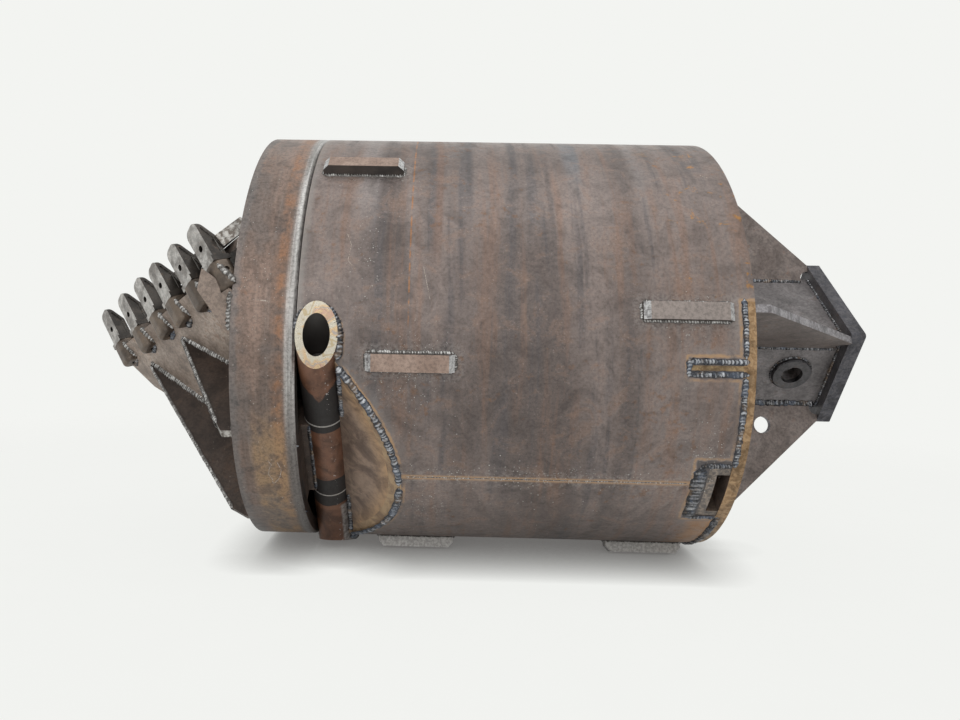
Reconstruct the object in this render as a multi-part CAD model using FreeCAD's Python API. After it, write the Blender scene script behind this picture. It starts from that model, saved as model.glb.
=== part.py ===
import FreeCAD, Part
import math
import os

# A drilling bucket for a rotary rig, lying on its side as it is stored.
# Millimetres and degrees. +X runs along the bucket from the teeth to the kelly box, +Z is up and the
# origin is where the kelly pin crosses the axis. An azimuth turns about X: 0 faces -Y, 90 is up.

Vector = FreeCAD.Vector
X_AXIS = Vector(1, 0, 0)
Y_AXIS = Vector(0, 1, 0)
Z_AXIS = Vector(0, 0, 1)
CENTRE = Vector(0, 0, 0)

# Barrel
barrel_od = 1200
barrel_wall = 20
barrel_length = 1090
end_plate_t = 30
end_step_from = -80
end_step_to = 9

# Kelly box on top of the barrel
kelly_size = 200
kelly_gap = 2
kelly_wall = 38
kelly_rise = 450
head_plate_side = 350
head_plate_t = 40
head_corner_r = 10
kelly_pin_bore = 61
kelly_pin_from_head = 153
boss_od = 114
boss_rise = 14
drain_r = 26
drain_from_end = 22

# Gussets between the barrel's end and the kelly box
gusset_t = 20
gusset_edge = 22
gusset_foot = 46
gusset_tip_radius = 240
gusset_scallop = 24
gusset_lean = 7
gusset_lean_radius = 348
lift_hole_d = 50
lift_hole_radius = 257
lift_hole_from_end = 243

# Hinge between barrel and gate
hinge_azimuth = -40
hinge_depth = 125
knuckle_od = 102
knuckle_proud = 15
gate_knuckle_length = 264
knuckle_gap = 1.5
hinge_pin_d = 65
running_gap = 0.08
pin_recess = 60
cradle_gap = 0.5
cradle_t = 12
pocket_slope = 32
pocket_plate_t = 20

# Gate
seam_gap = 3
band_width = 156
band_wall = 40
band_chamfer = 6
bottom_t = 40
arm_gap = 6

# Soil inlets and their flaps
inlet_inner = 150
inlet_rim = 55
inlet_lead = 14
inlet_sweep = 58
flap_t = 12
flap_lap = 12
flap_gap = 0.5
flap_tube_od = 36
flap_pin_d = 18
flap_lug_t = 16
flap_side_gap = 1
flap_pin_short = 5

# Tooth rows
row_azimuth = 20
row_slope = 37.3
tooth_steps_a = [137, 123, 104, 119, 114]
tooth_steps_b = [118, 118, 118, 118]
outer_tooth_a = 18
outer_tooth_b = 30
tooth_lean = 56
hole_station = 709

# One tooth and its holder
blade_length = 113
blade_width = 58
blade_t = 39
blade_thick_length = 58
blade_tip_t = 7
blade_tip_r = 20
blade_hole_d = 17
blade_hole_from_root = 44
blade_recess = 4
blade_rim = 8
collar_t = 16
collar_width = 60
collar_depth = 50
shank_size = 36
shank_length = 56
shank_gap = 0.3
holder_length = 76
holder_size = 58
holder_r = 20
holder_end_r = 12
tooth_pin_d = 12

# Carriers of the tooth rows
plate_t = 40
plate_lean = 47
plate_offset = 16.5
plate_top = -66
plate_inner = -22
plate_heel_from = 40
plate_heel_drop = 227
plate_toe_from = 405
plate_toe_drop = 8
plate_end = 20
plate_end_drop = 90
ramp_t = 34
ramp_width = 82
ramp_lead = 88
ramp_lean = 46
row_margin = 30
row_web_t = 30
web_from = -2
rib_t = 18
lower_rib_swing = -76
middle_rib_swing = -44
middle_rib_turn = -15
cap_t = 20
cap_depth = 10

# Outlines of the braces as (in front of the seam, below the barrel's surface), and of the cap at the
# rim as (in front of the seam, above the row's plane)
lower_rib = [(544, 463), (208, 24), (166, 3), (100, 3), (100, 540), (544, 540)]
middle_rib = [(384, 370), (202, 47), (173, 0), (100, 0), (100, 540), (384, 540)]
second_rib_shift = 0.6
cap_outline = [(245, 95), (240, 149), (160, 97), (159, -12), (165, -12)]

# Wear bars
bar_length = 212
bar_width = 42
bar_height = 30
bar_chamfer = 14

# Latch and its push rod, opposite the hinge
latch_under_rod = 60
latch_behind_seam = 62
hook_reach = 122
hook_t = 30
hook_depth = 34
hook_nose = 34
hook_release = 16
lever_rise = 62
lever_t = 24
latch_eye_od = 58
lever_gap = 0.5
latch_pin_d = 30
cheek_t = 14
cheek_half = 32
cheek_gap = 0.5
rod_d = 28
rod_gap = 0.3
rod_play = 1
rod_in_wall = 32
rod_above_end = 95
striker_d = 90
striker_t = 16
spring_wire = 7
spring_turns = 5
catch_behind_seam = 23
catch_length = 34
catch_width = 80
catch_clearance = 3
guide_length = 40
guide_od = 56
guide_stations = [300, 900]

# Ribs at the barrel's end and the port in its wall
end_rib_t = 12
end_rib_length = 130
end_rib_depth = 170
end_rib_swing = 33.7
port_width = 181
port_length = 53
port_frame_t = 22
port_depth = 120
port_proud = 2

# Values worked out from the above
barrel_r = barrel_od / 2
barrel_ri = barrel_r - barrel_wall
head_x = kelly_pin_from_head
head_back = head_x - head_plate_t
end_x = head_x - kelly_rise
end_plate_x = end_x - end_plate_t
seam_x = end_x - barrel_length
band_back = seam_x - seam_gap
band_front = band_back - band_width
band_ri = barrel_r - band_wall
bottom_back = band_front + bottom_t
gusset_radius = barrel_r - gusset_edge
hinge_offset = barrel_r - hinge_depth
inlet_outer = band_ri - inlet_rim
flap_pin_to = inlet_outer - flap_pin_short
rod_radius = barrel_ri - rod_in_wall
latch_radius = rod_radius - latch_under_rod
cap_radius = barrel_r - cap_depth
end_rib_inner = barrel_r - end_rib_depth
first_tooth = barrel_r - outer_tooth_a - sum(tooth_steps_a)
stem_side = kelly_size + 2 * kelly_gap + 2 * kelly_wall
socket_side = kelly_size + 2 * kelly_gap
stem_corner = stem_side / math.sqrt(2)
corner_azimuth = hinge_azimuth + 45
knuckle_r = knuckle_od / 2
hinge_x = seam_x + knuckle_r
latch_azimuth = hinge_azimuth + 180
latch_x = seam_x + latch_behind_seam
port_x = end_plate_x - port_length
far = 3 * barrel_r


def tube(radius, x0, x1):
    """A round bar along X."""
    return Part.makeCylinder(radius, x1 - x0, Vector(x0, 0, 0), X_AXIS)


def ring(outer, inner, x0, x1):
    """A pipe along X."""
    return tube(outer, x0, x1).cut(tube(inner, x0 - 1, x1 + 1))


def block(x0, x1, y0, y1, z0, z1):
    return Part.makeBox(x1 - x0, y1 - y0, z1 - z0, Vector(x0, y0, z0))


def sector(radius, x0, x1, start, sweep):
    """A cake slice about X between two azimuths."""
    slice_ = Part.makeCylinder(radius, x1 - x0, Vector(x0, 0, 0), X_AXIS, sweep)
    slice_.rotate(CENTRE, X_AXIS, 90 - (start + sweep))
    return slice_


def at_azimuth(shape, azimuth):
    """Turn a shape drawn at the top (radial = Z, forward = Y) to its azimuth."""
    placed = shape.copy()
    placed.rotate(CENTRE, X_AXIS, 90 - azimuth)
    return placed


def slab_xz(points, y0, y1):
    """A flat plate from an outline of (x, z) points, y0 to y1."""
    corners = [Vector(x, y0, z) for x, z in points]
    face = Part.Face(Part.makePolygon(corners + corners[:1]))
    return face.extrude(Vector(0, y1 - y0, 0))


def slab_xy(points, z0, z1):
    """A flat plate from an outline of (x, y) points, z0 to z1."""
    corners = [Vector(x, y, z0) for x, y in points]
    face = Part.Face(Part.makePolygon(corners + corners[:1]))
    return face.extrude(Vector(0, 0, z1 - z0))


def one_solid(shape):
    """The largest solid of a shape, with split faces joined."""
    solids = sorted(shape.Solids, key=lambda solid: solid.Volume)
    return solids[-1].removeSplitter()


def round_bar(radius, base, direction, length):
    return Part.makeCylinder(radius, length, base, direction)


def write(name, shape):
    shape.exportStep("parts/" + name + ".step")


def hinge_cylinder(radius, y0, y1):
    """A round bar on the hinge axis, drawn at the top."""
    return round_bar(radius, Vector(hinge_x, y0, hinge_offset), Y_AXIS, y1 - y0)


def pocket_space():
    """The room that the band's edge swings through, drawn at the top."""
    slope = math.tan(math.radians(pocket_slope))
    lip_x = hinge_x + (barrel_r - hinge_offset) / slope
    points = [
        (seam_x - 1, hinge_offset),
        (hinge_x, hinge_offset),
        (lip_x + barrel_r / slope, 2 * barrel_r),
        (seam_x - 1, 2 * barrel_r),
    ]
    return slab_xz(points, -barrel_r, barrel_r)


def port_space():
    """The window in the barrel wall, drawn at the top."""
    half = port_width / 2
    return block(port_x, end_plate_x, -half, half, barrel_r - port_depth, far)


def rib_plate(azimuth):
    plate = block(
        end_plate_x - end_rib_length, end_plate_x, -end_rib_t / 2, end_rib_t / 2, end_rib_inner, barrel_r
    )
    return at_azimuth(plate, azimuth)


def end_rib(side):
    return rib_plate(hinge_azimuth + side * end_rib_swing)


def barrel_shell():
    shell = ring(barrel_r, barrel_ri, seam_x, end_x)
    step = sector(barrel_r + 1, end_plate_x, end_x + 1, end_step_from, end_step_to - end_step_from)
    shell = shell.cut(step)
    shell = shell.cut(at_azimuth(pocket_space(), hinge_azimuth))
    shell = shell.cut(at_azimuth(hinge_cylinder(knuckle_r, -barrel_r, barrel_r), hinge_azimuth))
    shell = shell.cut(at_azimuth(port_space(), hinge_azimuth))
    for side in (-1, 1):
        shell = shell.cut(end_rib(side))
    return one_solid(shell)


def end_plate():
    plate = tube(barrel_ri, end_plate_x, end_x)
    step = sector(barrel_r, end_plate_x, end_x, end_step_from, end_step_to - end_step_from)
    plate = plate.fuse(step.cut(tube(barrel_ri - 1, end_plate_x - 1, end_x + 1)))
    rod_hole = round_bar(rod_d / 2 + rod_play, Vector(end_plate_x - 1, 0, rod_radius), X_AXIS, end_plate_t + 2)
    plate = plate.cut(at_azimuth(rod_hole, latch_azimuth))
    return one_solid(plate)


def port_frame():
    half = port_width / 2
    outer = block(port_x, end_plate_x, -half, half, barrel_r - port_depth, far)
    inner = block(
        port_x + port_frame_t,
        end_plate_x + 1,
        -half + port_frame_t,
        half - port_frame_t,
        0,
        far,
    )
    frame = outer.cut(inner).common(tube(barrel_r - port_proud, port_x - 1, end_x))
    return one_solid(at_azimuth(frame, hinge_azimuth))


def kelly_stem():
    half = stem_side / 2
    hole = socket_side / 2
    stem = block(end_x, head_back, -half, half, -half, half)
    stem = stem.cut(block(end_x - 1, head_x, -hole, hole, -hole, hole))
    pin = round_bar(kelly_pin_bore / 2, Vector(0, 0, -far), Z_AXIS, 2 * far)
    stem = stem.cut(pin)
    drain = round_bar(drain_r, Vector(end_x + drain_from_end, 0, 0), Y_AXIS, far)
    return one_solid(at_azimuth(stem.cut(drain), hinge_azimuth))


def head_plate():
    half = head_plate_side / 2
    hole = socket_side / 2
    plate = block(head_back, head_x, -half, half, -half, half)
    upright = [edge for edge in plate.Edges if edge.Length < head_plate_t + 1]
    plate = plate.makeFillet(head_corner_r, upright)
    plate = plate.cut(block(head_back - 1, head_x + 1, -hole, hole, -hole, hole))
    return one_solid(at_azimuth(plate, hinge_azimuth))


def pin_boss(side):
    boss = round_bar(boss_od / 2, Vector(0, 0, stem_side / 2), Z_AXIS, boss_rise)
    rim = [edge for edge in boss.Edges if abs(edge.BoundBox.ZMin - stem_side / 2 - boss_rise) < 0.1]
    boss = boss.makeChamfer(3, rim)
    boss = boss.cut(round_bar(kelly_pin_bore / 2, Vector(0, 0, 0), Z_AXIS, far))
    return one_solid(at_azimuth(boss, hinge_azimuth + side))


def gusset(azimuth, lean, with_hole):
    """A corner plate between the barrel's end and the kelly box."""
    outline = [
        (end_x, stem_corner / 2),
        (end_x, gusset_radius),
        (end_x + gusset_foot, gusset_radius),
        (head_back, gusset_tip_radius),
        (head_back, stem_corner + gusset_scallop),
        (head_back - gusset_scallop, stem_corner / 2),
    ]
    plate = slab_xz(outline, -gusset_t / 2, gusset_t / 2)
    scallop = round_bar(gusset_scallop, Vector(head_back, -far, stem_corner), Y_AXIS, 2 * far)
    plate = plate.cut(scallop)
    if with_hole:
        centre = Vector(end_x + lift_hole_from_end, -far, lift_hole_radius)
        plate = plate.cut(round_bar(lift_hole_d / 2, centre, Y_AXIS, 2 * far))
    plate.rotate(Vector(0, 0, gusset_lean_radius), X_AXIS, -lean)
    half = stem_side / 2
    box = at_azimuth(block(end_x - 1, head_x, -half, half, -half, half), 45 + 90)
    return one_solid(at_azimuth(plate.cut(box), azimuth))


def hinge_sleeve(side):
    """A barrel knuckle whose outer end is cut along the barrel's surface."""
    start = gate_knuckle_length / 2 + knuckle_gap
    sleeve = hinge_cylinder(knuckle_r, start, barrel_r)
    sleeve = sleeve.cut(hinge_cylinder(hinge_pin_d / 2 + running_gap, 0, far))
    swing = math.degrees(math.acos(hinge_offset / (barrel_r + knuckle_proud)))
    trim = block(-far, far, -far, far, barrel_r + knuckle_proud, far)
    trim.rotate(CENTRE, X_AXIS, -swing)
    sleeve = sleeve.cut(trim)
    if side < 0:
        sleeve = sleeve.mirror(CENTRE, Y_AXIS)
    return one_solid(at_azimuth(sleeve, hinge_azimuth))


def hinge_pin_half():
    """Half length of the hinge pin, short of the sleeves' ends."""
    return math.sqrt(barrel_r**2 - hinge_offset**2) - pin_recess


def hinge_pin():
    half = hinge_pin_half()
    pin = hinge_cylinder(hinge_pin_d / 2, -half, half)
    ends = [edge for edge in pin.Edges if edge.Curve.TypeId == "Part::GeomCircle"]
    return one_solid(at_azimuth(pin.makeChamfer(3, ends), hinge_azimuth))


def hinge_cradle():
    """A bent plate that closes the barrel under the knuckles."""
    inner = knuckle_r + cradle_gap
    outer = inner + cradle_t
    reach = math.sqrt(barrel_ri**2 - (hinge_offset - outer) ** 2)
    shell = hinge_cylinder(outer, -reach, reach)
    shell = shell.cut(hinge_cylinder(inner, -far, far))
    slope = math.radians(pocket_slope)
    keep = [
        (hinge_x, hinge_offset),
        (hinge_x + far * math.cos(slope), hinge_offset + far * math.sin(slope)),
        (hinge_x + far, hinge_offset - far),
        (hinge_x, hinge_offset - far),
    ]
    shell = shell.common(slab_xz(keep, -far, far))
    return one_solid(at_azimuth(shell.common(tube(barrel_ri, -far, far)), hinge_azimuth))


def pocket_plate():
    """The sloped stop plate that the gate's band swings down to."""
    slope = math.radians(pocket_slope)
    along = Vector(math.cos(slope), 0, math.sin(slope))
    down = Vector(math.sin(slope), 0, -math.cos(slope))
    hinge = Vector(hinge_x, 0, hinge_offset)
    start = knuckle_r + cradle_gap + cradle_t
    corners = [
        hinge + along * start,
        hinge + along * far,
        hinge + along * far + down * pocket_plate_t,
        hinge + along * start + down * pocket_plate_t,
    ]
    plate = slab_xz([(c.x, c.z) for c in corners], -barrel_r, barrel_r)
    plate = plate.common(tube(barrel_ri, seam_x, end_x))
    plate = plate.cut(hinge_cylinder(start, -far, far))
    return one_solid(at_azimuth(plate, hinge_azimuth))


def gate_band():
    band = ring(barrel_r, band_ri, band_front, band_back)
    edge = [e for e in band.Edges if e.Length > 6 * band_ri and e.BoundBox.XMin > band_back - 1]
    edge = [e for e in edge if e.BoundBox.ZMax > barrel_r - 1]
    return one_solid(clear_of_teeth(band.makeChamfer(band_chamfer, edge)))


def inlet_space(row):
    """The hole in the bottom plate in front of a row of teeth."""
    start = row + inlet_lead
    slice_ = sector(inlet_outer, band_front - 1, bottom_back + 1, start, inlet_sweep)
    return slice_.cut(tube(inlet_inner, band_front - 2, bottom_back + 2))


def bottom_plate():
    plate = tube(band_ri, band_front, bottom_back)
    for letter, row, radii in rows:
        plate = plate.cut(inlet_space(row))
    return one_solid(clear_of_teeth(plate))


def gate_knuckle():
    half = gate_knuckle_length / 2
    sleeve = hinge_cylinder(knuckle_r, -half, half)
    sleeve = sleeve.cut(hinge_cylinder(hinge_pin_d / 2 + running_gap, -far, far))
    return one_solid(at_azimuth(sleeve, hinge_azimuth))


def gate_arm():
    """The block that ties the gate's knuckle to its band."""
    half = gate_knuckle_length / 2 - arm_gap
    body = block(bottom_back, hinge_x - knuckle_r / 2, -half, half, hinge_offset - knuckle_r, barrel_r)
    body = body.common(tube(barrel_r, bottom_back, far))
    body = body.cut(ring(barrel_r + 1, band_ri, band_front, band_back))
    body = body.cut(hinge_cylinder(knuckle_r, -far, far))
    top = block(seam_x - seam_gap, far, -far, far, hinge_offset + knuckle_r * 0.75, far)
    return one_solid(at_azimuth(body.cut(top), hinge_azimuth))


def tooth_radii(outer, steps):
    """Distances of a row's tooth holes from the axis, innermost first."""
    radii = [barrel_r - outer]
    for step in reversed(steps):
        radii.insert(0, radii[0] - step)
    return radii


def tooth_frame(row, radius):
    """Root centre and directions (tip, width, thickness) of a tooth."""
    angle = math.radians(row)
    out = Vector(0, -math.cos(angle), math.sin(angle))
    forward = Vector(0, math.sin(angle), math.cos(angle))
    lean = math.radians(tooth_lean)
    turn = math.radians(row_slope)
    tip = X_AXIS * -math.cos(lean) + forward * math.sin(lean)
    across = X_AXIS * math.sin(lean) + forward * math.cos(lean)
    wide = out * math.cos(turn) + across * math.sin(turn)
    thick = across * math.cos(turn) - out * math.sin(turn)
    station = seam_x - hole_station + (radius - first_tooth) * math.tan(turn)
    hole = X_AXIS * station + out * radius
    return hole + thick * (blade_t / 2) - tip * blade_hole_from_root, tip, wide, thick


def in_tooth_frame(shape, frame):
    """Place a shape drawn with X across the blade, Y through it and Z to the tip."""
    root, tip, wide, thick = frame
    turn = FreeCAD.Matrix(
        wide.x, thick.x, tip.x, root.x,
        wide.y, thick.y, tip.y, root.y,
        wide.z, thick.z, tip.z, root.z,
        0, 0, 0, 1,
    )
    placed = shape.copy()
    placed.Placement = FreeCAD.Placement(turn)
    return placed


def blade_side(rim):
    """The blade's side outline as (y, z) points, drawn in by a rim."""
    back = -blade_t / 2
    slope = (blade_t - blade_tip_t) / (blade_length - blade_thick_length)
    tip = blade_length - 3 * rim
    return [
        (back + rim, rim),
        (-back - rim, rim),
        (-back - rim, blade_thick_length),
        (-back - rim - slope * (tip - blade_thick_length), tip),
        (back + rim, tip),
    ]


def slab_yz(points, x0, x1):
    """A flat plate from an outline of (y, z) points, x0 to x1."""
    corners = [Vector(x0, y, z) for y, z in points]
    face = Part.Face(Part.makePolygon(corners + corners[:1]))
    return face.extrude(Vector(x1 - x0, 0, 0))


def tooth():
    """A flat forged tooth: chisel blade with hollow sides, collar and square shank."""
    half = blade_width / 2
    wedge = slab_yz(blade_side(0), -half, half)
    front = block(-half, half, -blade_t, blade_t, 0, blade_length)
    tips = [
        e for e in front.Edges
        if abs(e.BoundBox.ZMin - blade_length) < 0.1 and e.BoundBox.XLength < 0.1
    ]
    blade = wedge.common(front.makeFillet(blade_tip_r, tips))
    for start in (-half, half - blade_recess):
        blade = blade.cut(slab_yz(blade_side(blade_rim), start, start + blade_recess))
    hole = round_bar(blade_hole_d / 2, Vector(0, -far, blade_hole_from_root), Y_AXIS, 2 * far)
    blade = blade.cut(hole)
    collar = block(
        -collar_width / 2, collar_width / 2, -collar_depth / 2, collar_depth / 2, -collar_t, 0
    )
    shank = block(
        -shank_size / 2, shank_size / 2, -shank_size / 2, shank_size / 2, -collar_t - shank_length, -collar_t
    )
    body = blade.fuse([collar, shank])
    return one_solid(body.cut(cross_pin(running_gap)))


def cross_pin(gap):
    middle = -collar_t - shank_length / 2
    reach = holder_size / 2
    return round_bar(tooth_pin_d / 2 + gap, Vector(-reach, 0, middle), X_AXIS, 2 * reach)


def holder():
    half = holder_size / 2
    body = block(-half, half, -half, half, -collar_t - holder_length, -collar_t)
    long_edges = [e for e in body.Edges if e.BoundBox.ZLength > holder_length - 1]
    body = body.makeFillet(holder_r, long_edges)
    end_edges = [e for e in body.Edges if e.BoundBox.ZMax < 1 - collar_t - holder_length]
    body = body.makeFillet(holder_end_r, end_edges)
    hole = shank_size / 2 + shank_gap
    socket = block(-hole, hole, -hole, hole, -collar_t - shank_length - 2, 0)
    body = body.cut(socket)
    knock_out = round_bar(shank_size / 5, Vector(0, 0, -far), Z_AXIS, far)
    return one_solid(body.cut(knock_out).cut(cross_pin(running_gap)))


def row_directions(row):
    """Unit vectors of a row: along it, up its carrier plate, and out of it."""
    angle = math.radians(row)
    out = Vector(0, -math.cos(angle), math.sin(angle))
    forward = Vector(0, math.sin(angle), math.cos(angle))
    slope = math.radians(row_slope)
    lean = math.radians(plate_lean)
    along = X_AXIS * math.sin(slope) + out * math.cos(slope)
    away = X_AXIS * -math.cos(slope) + out * math.sin(slope)
    up = away * math.sin(lean) + forward * math.cos(lean)
    normal = away * math.cos(lean) - forward * math.sin(lean)
    return along, up, normal, out, forward


def row_start(row, radii):
    """The hole of the row's innermost tooth."""
    root, tip, wide, thick = tooth_frame(row, radii[0])
    return root + tip * blade_hole_from_root - thick * (blade_t / 2)


def in_front(shape):
    """What lies in front of the gate's band and inside its outer surface."""
    return shape.common(tube(barrel_r - 2, band_front - far, band_front))


def clear_of_teeth(shape):
    """Cut the room of every holder and blade out of a shape."""
    half = holder_size / 2
    stand = block(-half, half, -half, half, -collar_t - holder_length, -collar_t)
    half_blade = blade_width / 2 + 1
    half_root = collar_depth / 2 + 1
    room = block(-half_blade, half_blade, -half_root, half_root, -collar_t, blade_length)
    envelope = stand.fuse(room)
    for letter, row, radii in rows:
        for radius in radii:
            shape = shape.cut(in_tooth_frame(envelope, tooth_frame(row, radius)))
    return shape


def tooth_plate(row, radii):
    """The leaning plate whose top edge is notched for a row of holders."""
    along, up, normal, out, forward = row_directions(row)
    start = row_start(row, radii) + normal * plate_offset
    last = (radii[-1] - radii[0]) / math.cos(math.radians(row_slope)) + plate_end
    outline = [
        (plate_inner, plate_top),
        (last, plate_top),
        (last, plate_top - plate_end_drop),
        (barrel_od, plate_top - plate_end_drop),
        (barrel_od, -barrel_od),
        (plate_toe_from, -barrel_od),
        (plate_toe_from, plate_heel_from - plate_heel_drop - plate_toe_from),
        (plate_heel_from, -plate_heel_drop),
        (plate_inner, plate_top - plate_toe_drop),
    ]
    corners = [start + along * a + up * b for a, b in outline]
    face = Part.Face(Part.makePolygon(corners + corners[:1]))
    plate = in_front(face.extrude(normal * -plate_t))
    return one_solid(clear_of_teeth(plate))


def carrier_space(row, radii):
    """All the room on the leading side of a row's carrier plate face."""
    along, up, normal, out, forward = row_directions(row)
    start = row_start(row, radii) + normal * plate_offset
    outline = [(-far, -far), (far, -far), (far, far), (-far, far)]
    corners = [start + along * a + up * b for a, b in outline]
    face = Part.Face(Part.makePolygon(corners + corners[:1]))
    return face.extrude(normal * -far)


def brace(row, radii, swing, turn, outline):
    """A rib from the carrier plate's back to the rim."""
    angle = math.radians(row + swing)
    rim = Vector(0, -math.cos(angle), math.sin(angle)) * barrel_r
    run = math.radians(row + swing + turn)
    run_dir = Vector(0, -math.cos(run), math.sin(run))
    side = Vector(0, math.sin(run), math.cos(run))
    origin = rim - run_dir * rim.dot(run_dir)
    corners = [origin + X_AXIS * (seam_x - x) + run_dir * (barrel_r - depth) for x, depth in outline]
    face = Part.Face(Part.makePolygon(corners + corners[:1]))
    plate = in_front(face.extrude(side * -rib_t))
    return one_solid(plate.cut(carrier_space(row, radii)))


def lower_brace(row, radii):
    """The rib nearest the row's first tooth, which sits back in the shorter row."""
    shift = (radii[0] - first_tooth) * second_rib_shift
    (x, depth), *middle, (back, low) = lower_rib
    outline = [(x - shift, depth - shift)] + middle + [(back - shift, low)]
    return brace(row, radii, lower_rib_swing, 0, outline)


def middle_brace(row, radii):
    return brace(row, radii, middle_rib_swing, middle_rib_turn, middle_rib)


def rim_cap(row, radii):
    """The plate that closes the row's outer end at the rim."""
    points = [(seam_x - x, y) for x, y in cap_outline]
    plate = slab_xy(points, cap_radius - cap_t, cap_radius)
    plate = at_azimuth(plate, row - row_azimuth).cut(carrier_space(row, radii))
    return one_solid(clear_of_teeth(in_front(plate)))


def row_braces(row, radii):
    return Part.makeCompound([lower_brace(row, radii), middle_brace(row, radii), rim_cap(row, radii)])


def row_ramp(row, radii):
    """The sloped plate in front of a row's holders, down which the soil slides in."""
    along, up, normal, out, forward = row_directions(row)
    lean = math.radians(ramp_lean)
    across = X_AXIS * math.sin(lean) + forward * math.cos(lean)
    edge = Vector(band_front, 0, 0) + forward * ramp_lead + out * barrel_r
    length = (barrel_r - radii[0] + blade_width / 2) / out.dot(along)
    foot = edge - across * ramp_width
    corners = [edge, foot, foot - along * length, edge - along * length]
    face = Part.Face(Part.makePolygon(corners + corners[:1]))
    inward = across.cross(along)
    inward.normalize()
    ramp = in_front(face.extrude(inward * ramp_t))
    own_side = at_azimuth(block(-far, 0, -far, far, radii[0] - row_margin, far), row)
    return one_solid(clear_of_teeth(ramp.common(own_side)).cut(tooth_plate(row, radii)))


def row_web(row, radii):
    """The upright plate under a row's ramp."""
    low = radii[0] - row_margin
    slope = math.tan(math.radians(row_slope))
    outline = [
        (band_front, low),
        (band_front - slope * (barrel_r - low), low),
        (band_front, barrel_r),
    ]
    web = in_front(at_azimuth(slab_xz(outline, web_from, web_from + row_web_t), row))
    web = web.cut(row_ramp(row, radii)).cut(tooth_plate(row, radii))
    return one_solid(clear_of_teeth(web))


def gate_catch():
    """The block inside the band that the latch hook holds."""
    back = seam_x - catch_behind_seam
    half = catch_width / 2
    body = block(back - catch_length, back, -half, half, latch_radius + hook_depth / 2 + catch_clearance, far)
    return one_solid(at_azimuth(body.common(tube(band_ri, bottom_back, far)), latch_azimuth))


def flap_axis_x():
    return bottom_back + flap_gap + flap_tube_od / 2


def flap(row):
    """A hinged plate over one soil inlet, on the inside of the bottom plate."""
    hinge = row + inlet_lead + inlet_sweep + 10
    low = bottom_back + flap_gap
    sweep = inlet_sweep + 10
    leaf = sector(inlet_outer + flap_lap, low, low + flap_t, hinge - sweep - flap_lap / 4, sweep)
    leaf = leaf.cut(tube(inlet_inner - flap_lap, low - 1, low + flap_t + 1))
    pin_start = Vector(flap_axis_x(), 0, inlet_inner)
    y_tube = round_bar(flap_tube_od / 2, pin_start, Z_AXIS, flap_pin_to - inlet_inner)
    strap = block(low, low + flap_t, -flap_tube_od, 0, inlet_inner, flap_pin_to)
    wide = flap_tube_od / 2 + flap_side_gap
    for start, end in ((0, inlet_inner), (flap_pin_to, far)):
        leaf = leaf.cut(at_azimuth(block(low - 1, low + far, -wide, wide, start, end), hinge))
    leaf = leaf.fuse([at_azimuth(y_tube, hinge), at_azimuth(strap, hinge)])
    bore = round_bar(flap_pin_d / 2 + running_gap, Vector(flap_axis_x(), 0, 0), Z_AXIS, far)
    return one_solid(leaf.cut(at_azimuth(bore, hinge)))


def flap_hinge(row):
    """The pin of a flap with its two lugs."""
    hinge = row + inlet_lead + inlet_sweep + 10
    pin = round_bar(
        flap_pin_d / 2, Vector(flap_axis_x(), 0, inlet_inner - flap_lug_t), Z_AXIS,
        flap_pin_to - inlet_inner + 2 * flap_lug_t,
    )
    half = flap_tube_od / 2
    for start in (inlet_inner - flap_side_gap - flap_lug_t, flap_pin_to + flap_side_gap):
        lug = block(bottom_back, flap_axis_x(), -half, half, start, start + flap_lug_t)
        pin = pin.fuse([lug, round_bar(half, Vector(flap_axis_x(), 0, start), Z_AXIS, flap_lug_t)])
    return one_solid(at_azimuth(pin, hinge))


def latch_hook():
    """The hook that holds the gate shut, drawn engaged and then turned free."""
    y = hook_t / 2
    top = latch_radius + hook_depth / 2
    reach = latch_x - hook_reach
    outline = [
        (latch_x + lever_t / 2, latch_radius - hook_depth / 2),
        (latch_x + lever_t / 2, latch_radius + lever_rise),
        (latch_x - lever_t / 2, latch_radius + lever_rise),
        (latch_x - lever_t / 2, top),
        (reach, top),
        (reach, top + hook_nose),
        (reach - hook_nose, top + hook_nose / 2),
        (reach - hook_nose, latch_radius - hook_depth / 2),
    ]
    body = slab_xz(outline, -y, y)
    eye = round_bar(latch_eye_od / 2, Vector(latch_x, -y, latch_radius), Y_AXIS, hook_t)
    body = body.fuse(eye)
    pin = round_bar(latch_pin_d / 2 + running_gap, Vector(latch_x, -far, latch_radius), Y_AXIS, 2 * far)
    body = body.cut(pin)
    body.rotate(Vector(latch_x, 0, latch_radius), Y_AXIS, -hook_release)
    return one_solid(at_azimuth(body, latch_azimuth))


def latch_bracket():
    """Two cheeks on the barrel's wall with the latch pin between them."""
    inner = hook_t / 2 + cheek_gap
    span = inner + cheek_t
    pin = round_bar(latch_pin_d / 2, Vector(latch_x, -span, latch_radius), Y_AXIS, 2 * span)
    low = latch_radius - latch_eye_od / 2
    body = pin
    for start in (-span, inner):
        cheek = block(latch_x - cheek_half, latch_x + cheek_half, start, start + cheek_t, low, far)
        body = body.fuse(cheek.common(tube(barrel_ri, seam_x, end_x)))
    return one_solid(at_azimuth(body, latch_azimuth))


def rod_start():
    """Where the push rod's flat end meets the released lever."""
    turn = math.radians(hook_release)
    low = rod_radius - rod_d / 2 - latch_radius
    return latch_x + lever_t / 2 / math.cos(turn) - low * math.tan(turn) + lever_gap


def push_rod():
    start = rod_start()
    end = end_x + rod_above_end
    rod = round_bar(rod_d / 2, Vector(start, 0, rod_radius), X_AXIS, end - start)
    head = round_bar(striker_d / 2, Vector(end, 0, rod_radius), X_AXIS, striker_t)
    return one_solid(at_azimuth(rod.fuse(head), latch_azimuth))


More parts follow.
